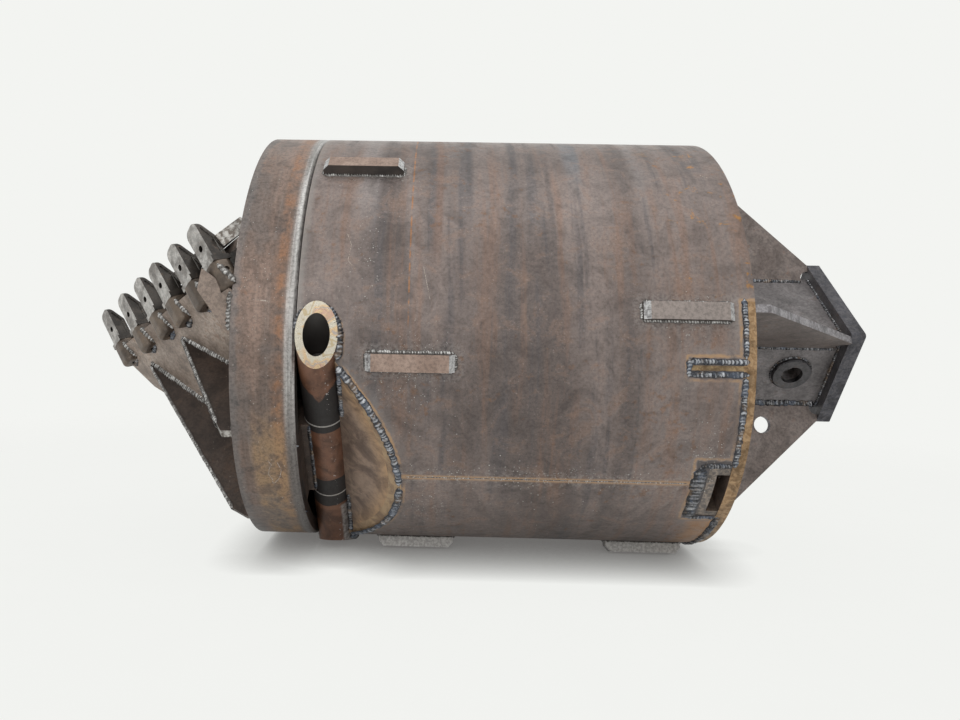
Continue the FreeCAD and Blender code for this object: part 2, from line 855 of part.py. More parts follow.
def rod_guide(x):
    """A bored block on the barrel's wall that the push rod slides in."""
    half = guide_od / 2
    body = round_bar(half, Vector(x, 0, rod_radius), X_AXIS, guide_length)
    body = body.fuse(block(x, x + guide_length, -half, half, rod_radius, far))
    body = body.common(tube(barrel_ri, seam_x, end_x))
    bore = round_bar(rod_d / 2 + rod_gap, Vector(x - 1, 0, rod_radius), X_AXIS, guide_length + 2)
    return one_solid(at_azimuth(body.cut(bore), latch_azimuth))


def return_spring():
    """The coil between the barrel's end and the striker."""
    radius = rod_d / 2 + spring_wire
    rise = rod_above_end - spring_wire
    helix = Part.makeHelix(rise / spring_turns, rise, radius)
    section = Part.Wire(Part.makeCircle(spring_wire / 2, Vector(radius, 0, 0), Y_AXIS))
    coil = Part.Wire(helix.Edges).makePipeShell([section], True, True)
    coil.rotate(CENTRE, Y_AXIS, 90)
    coil.translate(Vector(end_x + spring_wire / 2, 0, rod_radius))
    return at_azimuth(coil, latch_azimuth)


def wear_bar(start, azimuth):
    """A chamfered bar welded along the barrel's outside."""
    half = bar_width / 2
    seat = math.sqrt(barrel_r**2 - half**2)
    x0 = seam_x + start
    outline = [
        (x0, seat),
        (x0 + bar_length, seat),
        (x0 + bar_length, barrel_r + bar_height - bar_chamfer),
        (x0 + bar_length - bar_chamfer, barrel_r + bar_height),
        (x0 + bar_chamfer, barrel_r + bar_height),
        (x0, barrel_r + bar_height - bar_chamfer),
    ]
    bar = slab_xz(outline, -half, half).cut(tube(barrel_r, seam_x - 10, end_x + 10))
    return at_azimuth(bar, azimuth)


def bars(places):
    return Part.makeCompound([wear_bar(start, azimuth) for start, azimuth in places])


rows = [
    ("a", row_azimuth, tooth_radii(outer_tooth_a, tooth_steps_a)),
    ("b", row_azimuth + 180, tooth_radii(outer_tooth_b, tooth_steps_b)),
]
front_bars = [(28, 45.7), (168, -6.3), (178, -77), (178, -103), (168, 149), (28, 97), (28, -159)]
rear_bars = [(822, 6.2), (829, -77), (829, -103), (822, 97), (822, -172)]

os.makedirs("parts", exist_ok=True)

write("barrel_shell", barrel_shell())
write("end_plate", end_plate())
write("port_frame", port_frame())
write("kelly_stem", kelly_stem())
write("head_plate", head_plate())
write("pin_bosses", Part.makeCompound([pin_boss(0), pin_boss(180)]))
write("gusset_near", gusset(corner_azimuth, gusset_lean, False))
write("gusset_top", gusset(corner_azimuth + 90, 0, False))
write("gusset_far", gusset(corner_azimuth + 180, 0, False))
write("gusset_bottom", gusset(corner_azimuth - 90, 0, True))
write("end_ribs", Part.makeCompound([end_rib(-1), end_rib(1)]))
write("hinge_sleeve_upper", hinge_sleeve(1))
write("hinge_sleeve_lower", hinge_sleeve(-1))
write("hinge_pin", hinge_pin())
write("hinge_cradle", hinge_cradle())
write("pocket_plate", pocket_plate())
write("wear_bars_front", bars(front_bars))
write("wear_bars_rear", bars(rear_bars))
write("latch_bracket", latch_bracket())
write("rod_guides", Part.makeCompound([rod_guide(seam_x + x) for x in guide_stations]))

write("latch_hook", latch_hook())
write("push_rod", push_rod())
write("return_spring", return_spring())

write("gate_band", gate_band())
write("bottom_plate", bottom_plate())
write("gate_knuckle", gate_knuckle())
write("gate_arm", gate_arm())
write("gate_catch", gate_catch())
for letter, row, radii in rows:
    write("tooth_plate_" + letter, tooth_plate(row, radii))
    write("row_ramp_" + letter, row_ramp(row, radii).fuse(row_web(row, radii)))
    write("row_braces_" + letter, row_braces(row, radii))
    write("flap_" + letter, flap(row))
    write("flap_hinge_" + letter, flap_hinge(row))
    for index, radius in enumerate(radii):
        frame = tooth_frame(row, radius)
        name = letter + str(index + 1)
        write("holder_" + name, in_tooth_frame(holder(), frame))
        write("tooth_" + name, in_tooth_frame(tooth(), frame))
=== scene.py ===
import math
import random
from functools import reduce
import bmesh
import bpy
from mathutils import Matrix, Vector


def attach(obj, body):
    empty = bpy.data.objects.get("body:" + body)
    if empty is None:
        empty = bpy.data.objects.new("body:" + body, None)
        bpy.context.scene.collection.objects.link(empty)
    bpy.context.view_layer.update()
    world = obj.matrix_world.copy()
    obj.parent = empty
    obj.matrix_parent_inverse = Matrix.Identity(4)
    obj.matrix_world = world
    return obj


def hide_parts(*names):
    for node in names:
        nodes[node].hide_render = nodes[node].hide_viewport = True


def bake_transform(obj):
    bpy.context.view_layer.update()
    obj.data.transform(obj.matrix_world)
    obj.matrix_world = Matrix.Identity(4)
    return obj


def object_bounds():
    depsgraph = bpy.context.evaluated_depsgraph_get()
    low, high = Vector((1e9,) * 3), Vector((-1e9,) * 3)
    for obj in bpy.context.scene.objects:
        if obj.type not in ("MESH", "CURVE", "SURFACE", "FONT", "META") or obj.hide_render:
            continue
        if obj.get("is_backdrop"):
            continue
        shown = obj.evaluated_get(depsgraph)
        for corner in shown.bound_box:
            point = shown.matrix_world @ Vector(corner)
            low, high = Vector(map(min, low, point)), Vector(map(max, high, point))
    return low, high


# Looks of the drilling bucket. Metres, in the frame of the CAD part: +X runs from the teeth to the kelly
# box and an azimuth turns about X, with 0 facing the camera (-Y) and 90 facing up.

X = Vector((1, 0, 0))
RADIUS = 0.6
WALL = 0.02
END = -0.297
SEAM = END - 1.09
BAND_BACK = SEAM - 0.003
BAND_FRONT = BAND_BACK - 0.156
SHELL_SEAM = -36.2
HINGE_AZIMUTH = -40
HINGE_RADIUS = 0.475
HINGE_X = SEAM + 0.051
KNUCKLE = 0.051
POCKET_SLOPE = 32
STEM_HALF = 0.14
HEAD_BACK = 0.113
BOSS_WELD = 0.0575
ARM_HALF = 0.122
ARM_TOP = 0.0385
GUSSETS = ["gusset_near", "gusset_top", "gusset_far", "gusset_bottom"]
BAR_LENGTH = 0.212
BAR_HALF = 0.021
# Wear bars, as (distance from the seam, azimuth)
BARS = [
    (0.028, 45.7), (0.168, -6.3), (0.178, -77), (0.178, -103), (0.168, 149), (0.028, 97), (0.028, -159),
    (0.822, 6.2), (0.829, -77), (0.829, -103), (0.822, 97), (0.822, -172),
]
COLLAR = 0.016
HOLDER_LENGTH = 0.076
HOLDER_HALF = 0.029
BLADE_T = 0.039
HOLE_FROM_ROOT = 0.044
TOOTH_LEAN = 56
ROW_SLOPE = 37.3
PLATE_LEAN = 47
PLATE_OFFSET = 0.0165
BRACE_TURN = -20
HOLE_X = SEAM - 0.709
FIRST_TOOTH = -0.015
# Tooth rows, as (letter, azimuth, distances of the teeth from the axis)
ROWS = [
    ("a", 20, [-0.015, 0.122, 0.245, 0.349, 0.468, 0.582]),
    ("b", 200, [0.098, 0.216, 0.334, 0.452, 0.57]),
]

# Rolled plate: its two main colours, and heat streaks as (distance from the seam, half width, azimuth
# where it is full, colour)
BASE_DARK = (0.152, 0.122, 0.111)
BASE_LIGHT = (0.262, 0.212, 0.192)
STREAKS = [
    (0.41, 0.02, 42, (0.115, 0.105, 0.108)), (0.53, 0.016, 52, (0.105, 0.096, 0.1)),
    (0.69, 0.034, 55, (0.2, 0.205, 0.22)), (0.33, 0.022, 30, (0.235, 0.15, 0.115)),
    (0.86, 0.03, 48, (0.255, 0.225, 0.215)), (0.15, 0.04, 40, (0.33, 0.29, 0.275)),
    (0.215, 0.012, 25, (0.13, 0.1, 0.09)), (0.62, 0.012, 30, (0.15, 0.125, 0.118)),
]
STREAK_RISE = 22
# Welds near the end, as (x0, x1, azimuth0, azimuth1)
END_WELDS = [(END - 0.16, END, -8.8, -3.9), (END - 0.033, END, -80, 9), (END - 0.117, END - 0.03, -50, -29)]

PAPER = (0.896, 0.905, 0.88)
SKY_ABOVE = 0.78
SKY_BELOW = 0.23
FLOOR_REACH = 9

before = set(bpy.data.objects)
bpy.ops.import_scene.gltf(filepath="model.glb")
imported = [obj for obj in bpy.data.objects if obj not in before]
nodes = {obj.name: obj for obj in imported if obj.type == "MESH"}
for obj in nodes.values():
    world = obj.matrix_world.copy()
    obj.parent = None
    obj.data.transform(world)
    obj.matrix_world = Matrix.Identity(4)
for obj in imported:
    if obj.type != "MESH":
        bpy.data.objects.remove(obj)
low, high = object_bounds()


def radial(azimuth):
    angle = math.radians(azimuth)
    return Vector((0, -math.cos(angle), math.sin(angle)))


def tangent(azimuth):
    angle = math.radians(azimuth)
    return Vector((0, math.sin(angle), math.cos(angle)))


def arc_at(azimuth):
    """The way round the barrel from the camera's side to an azimuth."""
    return math.radians(azimuth) * RADIUS


class Value:
    """What a shader node gives. Adding, subtracting or multiplying it makes the next node."""

    def __init__(self, shader, socket):
        self.shader = shader
        self.socket = socket

    def __add__(self, other):
        return self.shader.maths("ADD", self, other)

    def __sub__(self, other):
        return self.shader.maths("SUBTRACT", self, other)

    def __rsub__(self, other):
        return self.shader.maths("SUBTRACT", other, self)

    def __mul__(self, other):
        return self.shader.maths("MULTIPLY", self, other)

    def __abs__(self):
        return self.shader.maths("ABSOLUTE", self)

    __radd__ = __add__
    __rmul__ = __mul__

    def fade(self, start, end, low=0, high=1):
        """Low where this is at start and high where it is at end, smooth between."""
        if start > end:
            start, end, low, high = end, start, high, low
        return self.shader.value("MapRange", "Result", {
            "Value": self, "From Min": start, "From Max": end, "To Min": low, "To Max": high,
        }, interpolation_type="SMOOTHSTEP")


class Shader:
    """A material or world whose nodes are written as calls."""

    def __init__(self, name, kind=bpy.data.materials):
        self.owner = kind.new(name)
        self.owner.use_nodes = True
        self.tree = self.owner.node_tree
        self.tree.nodes.clear()
        self.place = self.pattern = self.value("TexCoord", "Object")
        self.facing = self.value("TexCoord", "Normal")
        self.x, self.y, self.z = [self.value("SeparateXYZ", axis, {0: self.place}) for axis in "XYZ"]

    def new(self, kind, inputs=None, **settings):
        """A node with its settings, and its inputs linked or set."""
        node = self.tree.nodes.new("ShaderNode" + kind)
        for name, value in settings.items():
            setattr(node, name, value)
        for key, source in (inputs or {}).items():
            socket = node.inputs[key]
            if isinstance(source, Value):
                self.tree.links.new(source.socket, socket)
            elif socket.type == "RGBA":
                socket.default_value = (*source, 1)
            else:
                socket.default_value = source
        return node

    def value(self, kind, output, inputs=None, **settings):
        return Value(self, self.new(kind, inputs, **settings).outputs[output])

    def maths(self, operation, *values):
        return self.value("Math", 0, dict(enumerate(values)), operation=operation)

    def largest(self, *values):
        return reduce(lambda a, b: self.maths("MAXIMUM", a, b), values)

    def smallest(self, *values):
        return reduce(lambda a, b: self.maths("MINIMUM", a, b), values)

    def length(self, a, b):
        return self.maths("SQRT", a * a + b * b)

    def vector(self, *values):
        return self.value("CombineXYZ", 0, dict(enumerate(values)))

    def scaled(self, vector, *factors):
        return self.value("VectorMath", 0, {0: vector, 1: factors}, operation="MULTIPLY")

    def dot(self, vector, direction, offset=0):
        return self.value("VectorMath", "Value", {0: vector, 1: direction}, operation="DOT_PRODUCT") - offset

    def noise(self, scale, detail, rough=0.55, distort=0, stretch=None):
        place = self.scaled(self.pattern, *stretch) if stretch else self.pattern
        return self.value("TexNoise", 0, {
            "Vector": place, "Scale": scale, "Detail": detail, "Roughness": rough, "Distortion": distort,
        })

    def cells(self, scale):
        return self.value("TexVoronoi", "Distance", {"Vector": self.pattern, "Scale": scale})

    def mix(self, factor, a, b, blend="MIX"):
        return self.value("Mix", 2, {0: factor, 6: a, 7: b}, data_type="RGBA", blend_type=blend)

    def lay(self, colour, *layers):
        """Lay (mask, tint) pairs over a colour, the lowest first."""
        for mask, tint in layers:
            colour = self.mix(mask, colour, tint)
        return colour

    def mottle(self, colour, value, low, high, darkest):
        """Darken a colour where a pattern is low."""
        return self.mix(1, colour, self.mix(value.fade(low, high), (darkest,) * 3, (1, 1, 1)), "MULTIPLY")

    def around(self):
        """X, the way round the barrel in metres, and the distance from the axis.

        Patterns follow them too. Past the top and bottom they turn back, which leaves no jump at the back.
        """
        arc = self.maths("ARCTAN2", self.z, self.y * -1) * RADIUS
        out = self.length(self.y, self.z)
        over = self.largest(abs(arc) - arc_at(90), 0)
        self.pattern = self.vector(self.x, arc - self.maths("SIGN", arc) * (over * 2), out + over)
        return self.x, arc, out

    def finish(self, colour, roughness, metallic, height=None, depth=0):
        surface = {"Base Color": colour, "Roughness": roughness, "Metallic": metallic}
        if height:
            surface["Normal"] = self.value("Bump", 0, {"Distance": depth, "Strength": 1, "Height": height})
        self.new("OutputMaterial", {"Surface": self.value("BsdfPrincipled", 0, surface)})
        return self.owner


def simple_steel(name, dark, light, rust, rust_amount, roughness, metallic, grain=1):
    """Steel in two tones with rust bloom and small dark specks."""
    s = Shader(name)
    broad = s.noise(5 * grain, 5, 0.6, 0.3)
    fine = s.noise(60 * grain, 4, 0.6)
    tiny = s.noise(420 * grain, 2, 0.5)
    bloom = (broad * 0.5 + fine * 0.5).fade(0.62 - 0.2 * rust_amount, 0.75 - 0.1 * rust_amount)
    colour = s.lay(
        s.mix(broad.fade(0.36, 0.66), dark, light),
        (bloom * 0.8, rust),
        (tiny.fade(0.62, 0.72), [0.5 * c for c in dark]),
    )
    return s.finish(colour, roughness + (fine - 0.5) * 0.3, metallic, fine * 0.6 + tiny * 0.4, 0.0006)


def main_normals(name, count):
    """The directions that most of a node's flat area faces, without regard to sign."""
    sums = []
    for face in nodes[name].data.polygons:
        for entry in sums:
            if abs(entry[0].dot(face.normal)) > 0.995:
                entry[1] += face.area
                break
        else:
            sums.append([face.normal.copy(), face.area])
    sums.sort(key=lambda entry: -entry[1])
    return [entry[0] for entry in sums[:count]]


def box_distance(s, x, arc, box):
    """Distance in metres outside a rectangle (x0, x1, azimuth0, azimuth1) on the barrel."""
    x0, x1, a0, a1 = box
    far_x = abs(x - (x0 + x1) / 2) - (x1 - x0) / 2
    far_a = abs(arc - arc_at((a0 + a1) / 2)) - arc_at((a1 - a0) / 2)
    return s.length(s.largest(far_x, 0), s.largest(far_a, 0)) + s.smallest(s.largest(far_x, far_a), 0)


def sleeve_distance(s):
    """Distance from the hinge's axis."""
    return s.length(s.x - HINGE_X, s.dot(s.place, radial(HINGE_AZIMUTH), HINGE_RADIUS))


def camera_half(arc):
    """0 at the back, where the way round the barrel starts and ends."""
    return abs(arc).fade(arc_at(170), arc_at(120))


def mill_scale():
    """Rolled plate: streaks round the barrel, rust bloom, heat marks beside every weld."""
    s = Shader("mill_plate")
    x, arc, _ = s.around()
    seen = camera_half(arc)
    wide = s.noise(1, 3, 0.5, 0.2, (5.5, 0.8, 1))
    narrow = s.noise(1, 5, 0.62, 0.3, (24, 1.7, 1))
    cloud = s.noise(3.4, 6, 0.62, 0.6)
    fine = s.noise(48, 5, 0.62)
    tiny = s.noise(620, 2, 0.5)
    lines = s.noise(1, 3, 0.5, stretch=(2.6, 190, 1))
    grain = s.noise(120, 6, 0.72)
    stain = s.noise(15, 7, 0.68, 0.9)

    # Bands round the barrel that the rolls and the heat left, then rust
    streaks = []
    for centre, half, full, tint in STREAKS:
        off = abs(x - (SEAM + centre) + (narrow - 0.5) * 0.05).fade(half, half * 0.2)
        streaks.append((off * arc.fade(arc_at(full - STREAK_RISE), arc_at(full)) * seen * 0.78, tint))
    ring = abs(x - (SEAM + 0.267)).fade(0.003, 0.0008) * arc.fade(0, 0.06) * seen
    rust = (cloud * 0.45 + fine * 0.55).fade(0.555, 0.64)
    spots = (s.noise(17, 5, 0.7, 0.8) * 0.7 + fine * 0.3).fade(0.575, 0.625)
    near_end = x.fade(END - 0.24, END - 0.1) * arc.fade(0.04, 0.16) * seen
    broken = stain.fade(0.5, 0.6)
    # Painted sheen on the barrel just below its top outline, broken up by the narrow streaks
    painted_top_sheen = arc.fade(arc_at(56), arc_at(76)) * narrow.fade(0.34, 0.6) * seen
    colour = s.lay(
        s.mix(wide.fade(0.38, 0.62), BASE_DARK, BASE_LIGHT),
        (narrow.fade(0.5, 0.68) * 0.6, (0.27, 0.165, 0.118)),
        (narrow.fade(0.47, 0.33) * 0.62, (0.118, 0.108, 0.112)),
        (cloud.fade(0.54, 0.72) * 0.6, (0.245, 0.228, 0.226)),
        (cloud.fade(0.44, 0.3) * 0.45, (0.15, 0.112, 0.098)),
        *streaks,
        (ring * fine.fade(0.35, 0.55), (0.42, 0.2, 0.09)),
        (rust * 0.42, (0.33, 0.165, 0.078)),
        (spots * near_end * 0.85, (0.47, 0.235, 0.068)),
        (lines.fade(0.62, 0.72) * broken * 0.22, (0.36, 0.34, 0.335)),
        (lines.fade(0.38, 0.29) * broken * 0.2, (0.085, 0.074, 0.072)),
        (stain.fade(0.53, 0.64) * 0.34, (0.285, 0.18, 0.128)),
        (painted_top_sheen * 0.62, (0.46, 0.415, 0.395)),
    )
    colour = s.mottle(colour, stain, 0.32, 0.56, 0.7)
    colour = s.mottle(colour, grain, 0.34, 0.58, 0.72)
    pits = s.cells(210).fade(0.17, 0.09) * s.noise(8, 4, 0.7).fade(0.46, 0.58)
    flecks = s.noise(210, 3, 0.7).fade(0.585, 0.66) * stain.fade(0.46, 0.58)
    seam_side = (x - SEAM + (fine - 0.5) * 0.018).fade(0.022, 0.004)

    # Beside the welds: a dark line, a golden line and pale soot
    bars = [(SEAM + at, SEAM + at + BAR_LENGTH, turn - 2, turn + 2) for at, turn in BARS]
    from_bar = s.largest(s.smallest(*[box_distance(s, x, arc, box) for box in bars]), 0.0135)
    slope = math.radians(POCKET_SLOPE)
    up = radial(HINGE_AZIMUTH)
    plane = up * math.cos(slope) - X * math.sin(slope)
    from_plane = abs(s.dot(s.place, plane, plane.dot(X * HINGE_X + up * HINGE_RADIUS)))
    to_right = x.fade(HINGE_X, HINGE_X + 0.03)
    from_end = s.smallest(*[box_distance(s, x, arc, box) for box in END_WELDS])
    seam_box = (SEAM + 0.258, END - 0.127, SHELL_SEAM - 0.1, SHELL_SEAM + 0.1)
    from_seam = box_distance(s, x, arc, seam_box)
    near = s.smallest(
        (from_plane + (1 - to_right)) * 1.8 + 0.002, from_end + 0.0075, abs(sleeve_distance(s) - KNUCKLE)
    ) + (fine - 0.5) * 0.012 + (stain - 0.5) * 0.014
    patchy = (cloud * 0.5 + stain * 0.5).fade(0.43, 0.58)
    golden = abs(near - 0.0115).fade(0.006, 0.0005) * (0.1 + patchy * 0.9)
    lower_end = x.fade(END - 0.115, END - 0.07) * arc.fade(-0.525, -0.545) * seen
    gold = s.mix(stain.fade(0.4, 0.6), (0.28, 0.185, 0.115), (0.5, 0.35, 0.205))
    line = abs(from_seam) + (fine - 0.5) * 0.004
    seam_soot = from_seam.fade(0.045, 0.004) * s.noise(70, 4, 0.7).fade(0.48, 0.62)
    scatter = near.fade(0.11, 0.02) * s.noise(9, 2, 0.5).fade(0.48, 0.6)
    colour = s.lay(
        colour,
        (pits * 0.7, (0.05, 0.042, 0.04)),
        (flecks * 0.4, (0.42, 0.36, 0.33)),
        (seam_side * 0.55, (0.3, 0.28, 0.262)),
        (near.fade(0.05, 0.012) * cloud.fade(0.4, 0.6) * 0.34, (0.33, 0.305, 0.29)),
        (golden * 0.74, (0.52, 0.32, 0.16)),
        (near.fade(0.008, 0.003) * 0.75, (0.06, 0.056, 0.06)),
        (from_bar.fade(0.03, 0.014) * grain.fade(0.4, 0.58) * 0.3, (0.36, 0.33, 0.31)),
        (lower_end * (0.25 + patchy * 0.5), (0.42, 0.23, 0.11)),
        (from_plane.fade(0.0016, 0.0008) * to_right * 0.92, gold),
        (line.fade(0.0105, 0.0015) * 0.72, (0.52, 0.325, 0.175)),
        (seam_soot * 0.4, (0.4, 0.36, 0.33)),
        (s.cells(105).fade(0.115, 0.075) * scatter * 0.8, (0.5, 0.47, 0.44)),
        (tiny.fade(0.6, 0.72) * 0.35, (0.07, 0.058, 0.054)),
        (tiny.fade(0.38, 0.28) * 0.22, (0.4, 0.36, 0.34)),
    )
    height = fine * 0.6 + tiny * 0.25 + lines * 0.25
    return s.finish(colour, 0.5 + (fine - 0.5) * 0.35 + rust * 0.15, 0.3, height, 0.0007)


def band_steel():
    """The gate's band: rust-brown in the middle, ground bright beside the seam."""
    s = Shader("band_steel")
    x, arc, out = s.around()
    at = x - SEAM
    seen = camera_half(arc)
    cloud = s.noise(4.5, 6, 0.6, 0.5)
    turns = s.noise(1, 4, 0.6, stretch=(95, 2.4, 1))
    wide = s.noise(1, 4, 0.6, 0.3, (17, 1.3, 1))
    fine = s.noise(60, 5, 0.65)
    tiny = s.noise(620, 2, 0.5)
    stain = s.noise(17, 7, 0.68, 0.9)
    grain = s.noise(120, 6, 0.72)
    # Painted shade on the lower part of the band and painted light on its upper part
    under = arc.fade(arc_at(-8), arc_at(-38)) * seen
    above = arc.fade(arc_at(30), arc_at(62)) * seen
    warm = abs(at + 0.048 + (wide - 0.5) * 0.05).fade(0.026, 0.002) * stain.fade(0.36, 0.62)
    foot = arc.fade(arc_at(-14), arc_at(-30)) * seen * abs(at + 0.07).fade(0.055, 0.03)
    rust = (cloud * 0.6 + fine * 0.4).fade(0.56, 0.66)
    left = (at + (stain - 0.5) * 0.05).fade(-0.132, -0.15)
    colour = s.lay(
        s.mix(wide.fade(0.4, 0.6), (0.225, 0.16, 0.128), (0.32, 0.222, 0.176)),
        (under * 0.45, (0.105, 0.078, 0.064)),
        (above * 0.4, (0.44, 0.34, 0.29)),
        (turns.fade(0.54, 0.68) * 0.26, (0.37, 0.3, 0.262)),
        (turns.fade(0.44, 0.32) * 0.26, (0.125, 0.095, 0.082)),
        (warm * 0.66, (0.37, 0.17, 0.075)),
        (foot * (0.25 + stain.fade(0.42, 0.58) * 0.5), (0.4, 0.262, 0.14)),
        (rust * 0.45, (0.3, 0.135, 0.065)),
        ((cloud * 0.7 + wide * 0.3).fade(0.5, 0.4) * 0.5, (0.185, 0.165, 0.155)),
        (left * 0.7, (0.19, 0.178, 0.172)),
    )
    colour = s.mottle(colour, stain, 0.34, 0.56, 0.66)
    colour = s.mottle(colour, grain, 0.36, 0.58, 0.62)

    # The ground strip, with painted shade on its lower part
    ground = (at + (wide - 0.5) * 0.02).fade(-0.036, -0.018)
    brushed = s.noise(1, 4, 0.6, stretch=(160, 3, 1))
    bright = s.mix(brushed.fade(0.4, 0.6), (0.4, 0.39, 0.378), (0.7, 0.69, 0.675))
    painted_light_on_strip = arc.fade(arc_at(-34), arc_at(-8)) * seen
    bright = s.mottle(s.mix(painted_light_on_strip * 0.75 + 0.15, (0.11, 0.095, 0.088), bright), grain, 0.34, 0.6, 0.55)
    specks = s.cells(120).fade(0.11, 0.07) * s.noise(12, 2).fade(0.5, 0.62)
    colour = s.lay(
        colour,
        (ground * 0.92, bright),
        (out.fade(0.593, 0.59) * 0.8, (0.1, 0.085, 0.078)),
        (specks * 0.6, (0.52, 0.46, 0.42)),
        (tiny.fade(0.6, 0.72) * 0.4, (0.06, 0.048, 0.042)),
    )
    shine = 0.5 + (fine - 0.5) * 0.35 - ground * 0.12
    height = turns * 0.35 + fine * 0.5 + tiny * 0.25
    return s.finish(colour, shine, 0.25 + ground * 0.45, height, 0.0008)


def hinge_steel():
    """Hinge tube: rusty brown, black paint beside the joints, heat colours on the cut end."""
    s = Shader("hinge_tube")
    up = radial(HINGE_AZIMUTH)
    along = tangent(HINGE_AZIMUTH)
    y = s.dot(s.place, along)
    side = s.dot(s.place, X, HINGE_X)
    broad = s.noise(14, 5, 0.6, 0.4)
    fine = s.noise(75, 5, 0.65)
    tiny = s.noise(600, 2, 0.5)
    wave = (broad - 0.5) * 0.06 + abs(side) * 1.05
    upper = (y - wave).fade(0.226, 0.218) * (y - broad * 0.012).fade(0.101, 0.104)
    lower = (y + broad * 0.03).fade(-0.16, -0.156) * (y - broad * 0.03).fade(-0.084, -0.088)
    black = s.largest(upper, lower)
    flank = (side + (broad - 0.5) * 0.008).fade(0.026, 0.032) * y.fade(-0.178, -0.19)
    joint = abs(abs(y) - 0.1327)
    outside = sleeve_distance(s).fade(0.046, 0.049)
    drips = s.noise(150, 3, 0.6).fade(0.62, 0.7) * abs(side - 0.022).fade(0.006, 0.002)
    reach = math.acos(HINGE_RADIUS / (RADIUS + 0.015))
    ends = [up * math.cos(reach) + along * math.sin(reach) * way for way in (1, -1)]
    cut = s.largest(*[s.dot(s.facing, end) for end in ends]).fade(0.975, 0.99)
    tint = s.noise(13, 3, 0.5, 0.4) + (y - 0.36) * 1.6
    face = s.lay(
        s.mix(tint.fade(0.2, 0.4), (0.62, 0.53, 0.41), (0.54, 0.39, 0.235)),
        (abs(tint - 0.455).fade(0.02, 0.002) * 0.6, (0.36, 0.22, 0.21)),
        (abs(tint - 0.49).fade(0.024, 0.004) * 0.6, (0.25, 0.27, 0.32)),
        (tint.fade(0.515, 0.56), (0.5, 0.46, 0.38)),
        (abs(tint - 0.62).fade(0.03, 0.008), (0.42, 0.34, 0.22)),
        (fine.fade(0.56, 0.66) * 0.5, (0.34, 0.28, 0.2)),
    )
    colour = s.lay(
        s.mix(broad.fade(0.38, 0.62), (0.078, 0.035, 0.019), (0.185, 0.084, 0.047)),
        (fine.fade(0.56, 0.7) * 0.5, (0.26, 0.15, 0.1)),
        (black * 0.98, (0.011, 0.0095, 0.009)),
        (flank * 0.85, s.mix(fine.fade(0.42, 0.58), (0.2, 0.185, 0.175), (0.4, 0.38, 0.365))),
        (joint.fade(0.0028, 0.0012), (0.52, 0.5, 0.47)),
        (drips * outside * 0.85, (0.62, 0.6, 0.58)),
        # Painted shade inside the bore
        (1 - outside, (0.04, 0.036, 0.033)),
        (cut, face),
        (tiny.fade(0.62, 0.72) * 0.35, (0.05, 0.035, 0.028)),
    )
    shine = 0.42 + (fine - 0.5) * 0.35 - cut * 0.12 + black * 0.25
    metal = (0.25 + cut * 0.5) * (1 - black)
    return s.finish(colour, shine, metal, fine * 0.6 + tiny * 0.3, 0.0006)


def plate_steel(name, directions, dark, light, rust, edge, edge_bright, rough, scratches, pale=None):
    """Flame-cut plate: faces in one finish, with painted light on those turned towards pale, cut edges
    brighter and rougher.
    """
    s = Shader(name)
    broad = s.noise(6, 6, 0.62, 0.5)
    fine = s.noise(55, 5, 0.65)
    tiny = s.noise(600, 2, 0.5)
    stain = s.noise(24, 6, 0.68, 0.7)
    grain = s.noise(130, 5, 0.7)
    colour = s.mix(broad.fade(0.36, 0.64), dark, light)
    # Painted light: faces turned towards pale get a lighter tone
    if pale:
        colour = s.mix(abs(s.dot(s.facing, pale)).fade(0.9, 0.97), colour, (0.285, 0.222, 0.182))
    colour = s.mix((broad * 0.5 + fine * 0.5).fade(0.54, 0.64) * 0.55, colour, rust)
    colour = s.mottle(colour, stain, 0.34, 0.56, 0.68)
    colour = s.mottle(colour, grain, 0.36, 0.58, 0.68)
    rake = s.noise(1, 3, 0.5, stretch=(40, 9, 200)).fade(0.62, 0.72) * stain.fade(0.48, 0.6)
    specks = s.cells(90).fade(0.11, 0.06) * s.noise(14, 2).fade(0.5, 0.6)
    colour = s.lay(
        colour,
        (rake * scratches, [min(1, 1.7 * c) for c in light]),
        (specks * 0.55, (0.5, 0.44, 0.38)),
        (tiny.fade(0.62, 0.72) * 0.4, [0.4 * c for c in dark]),
    )
    height = fine * 0.6 + tiny * 0.3
    metal = 0.25
    if directions:
        # Cut edges face away from all the plate's main directions
        cut = s.largest(*[abs(s.dot(s.facing, way)) for way in directions]).fade(0.97, 0.9)
        ragged = s.noise(95, 4, 0.62, 0.5)
        rim = s.mottle(s.mix(ragged.fade(0.38, 0.62), edge, edge_bright), stain, 0.36, 0.6, 0.5)
        colour = s.mix(cut * 0.95, colour, rim)
        height = height + cut * ragged * 1.6
        metal = 0.25 + cut * 0.45
    return s.finish(colour, rough + (fine - 0.5) * 0.3, metal, height, 0.0008)


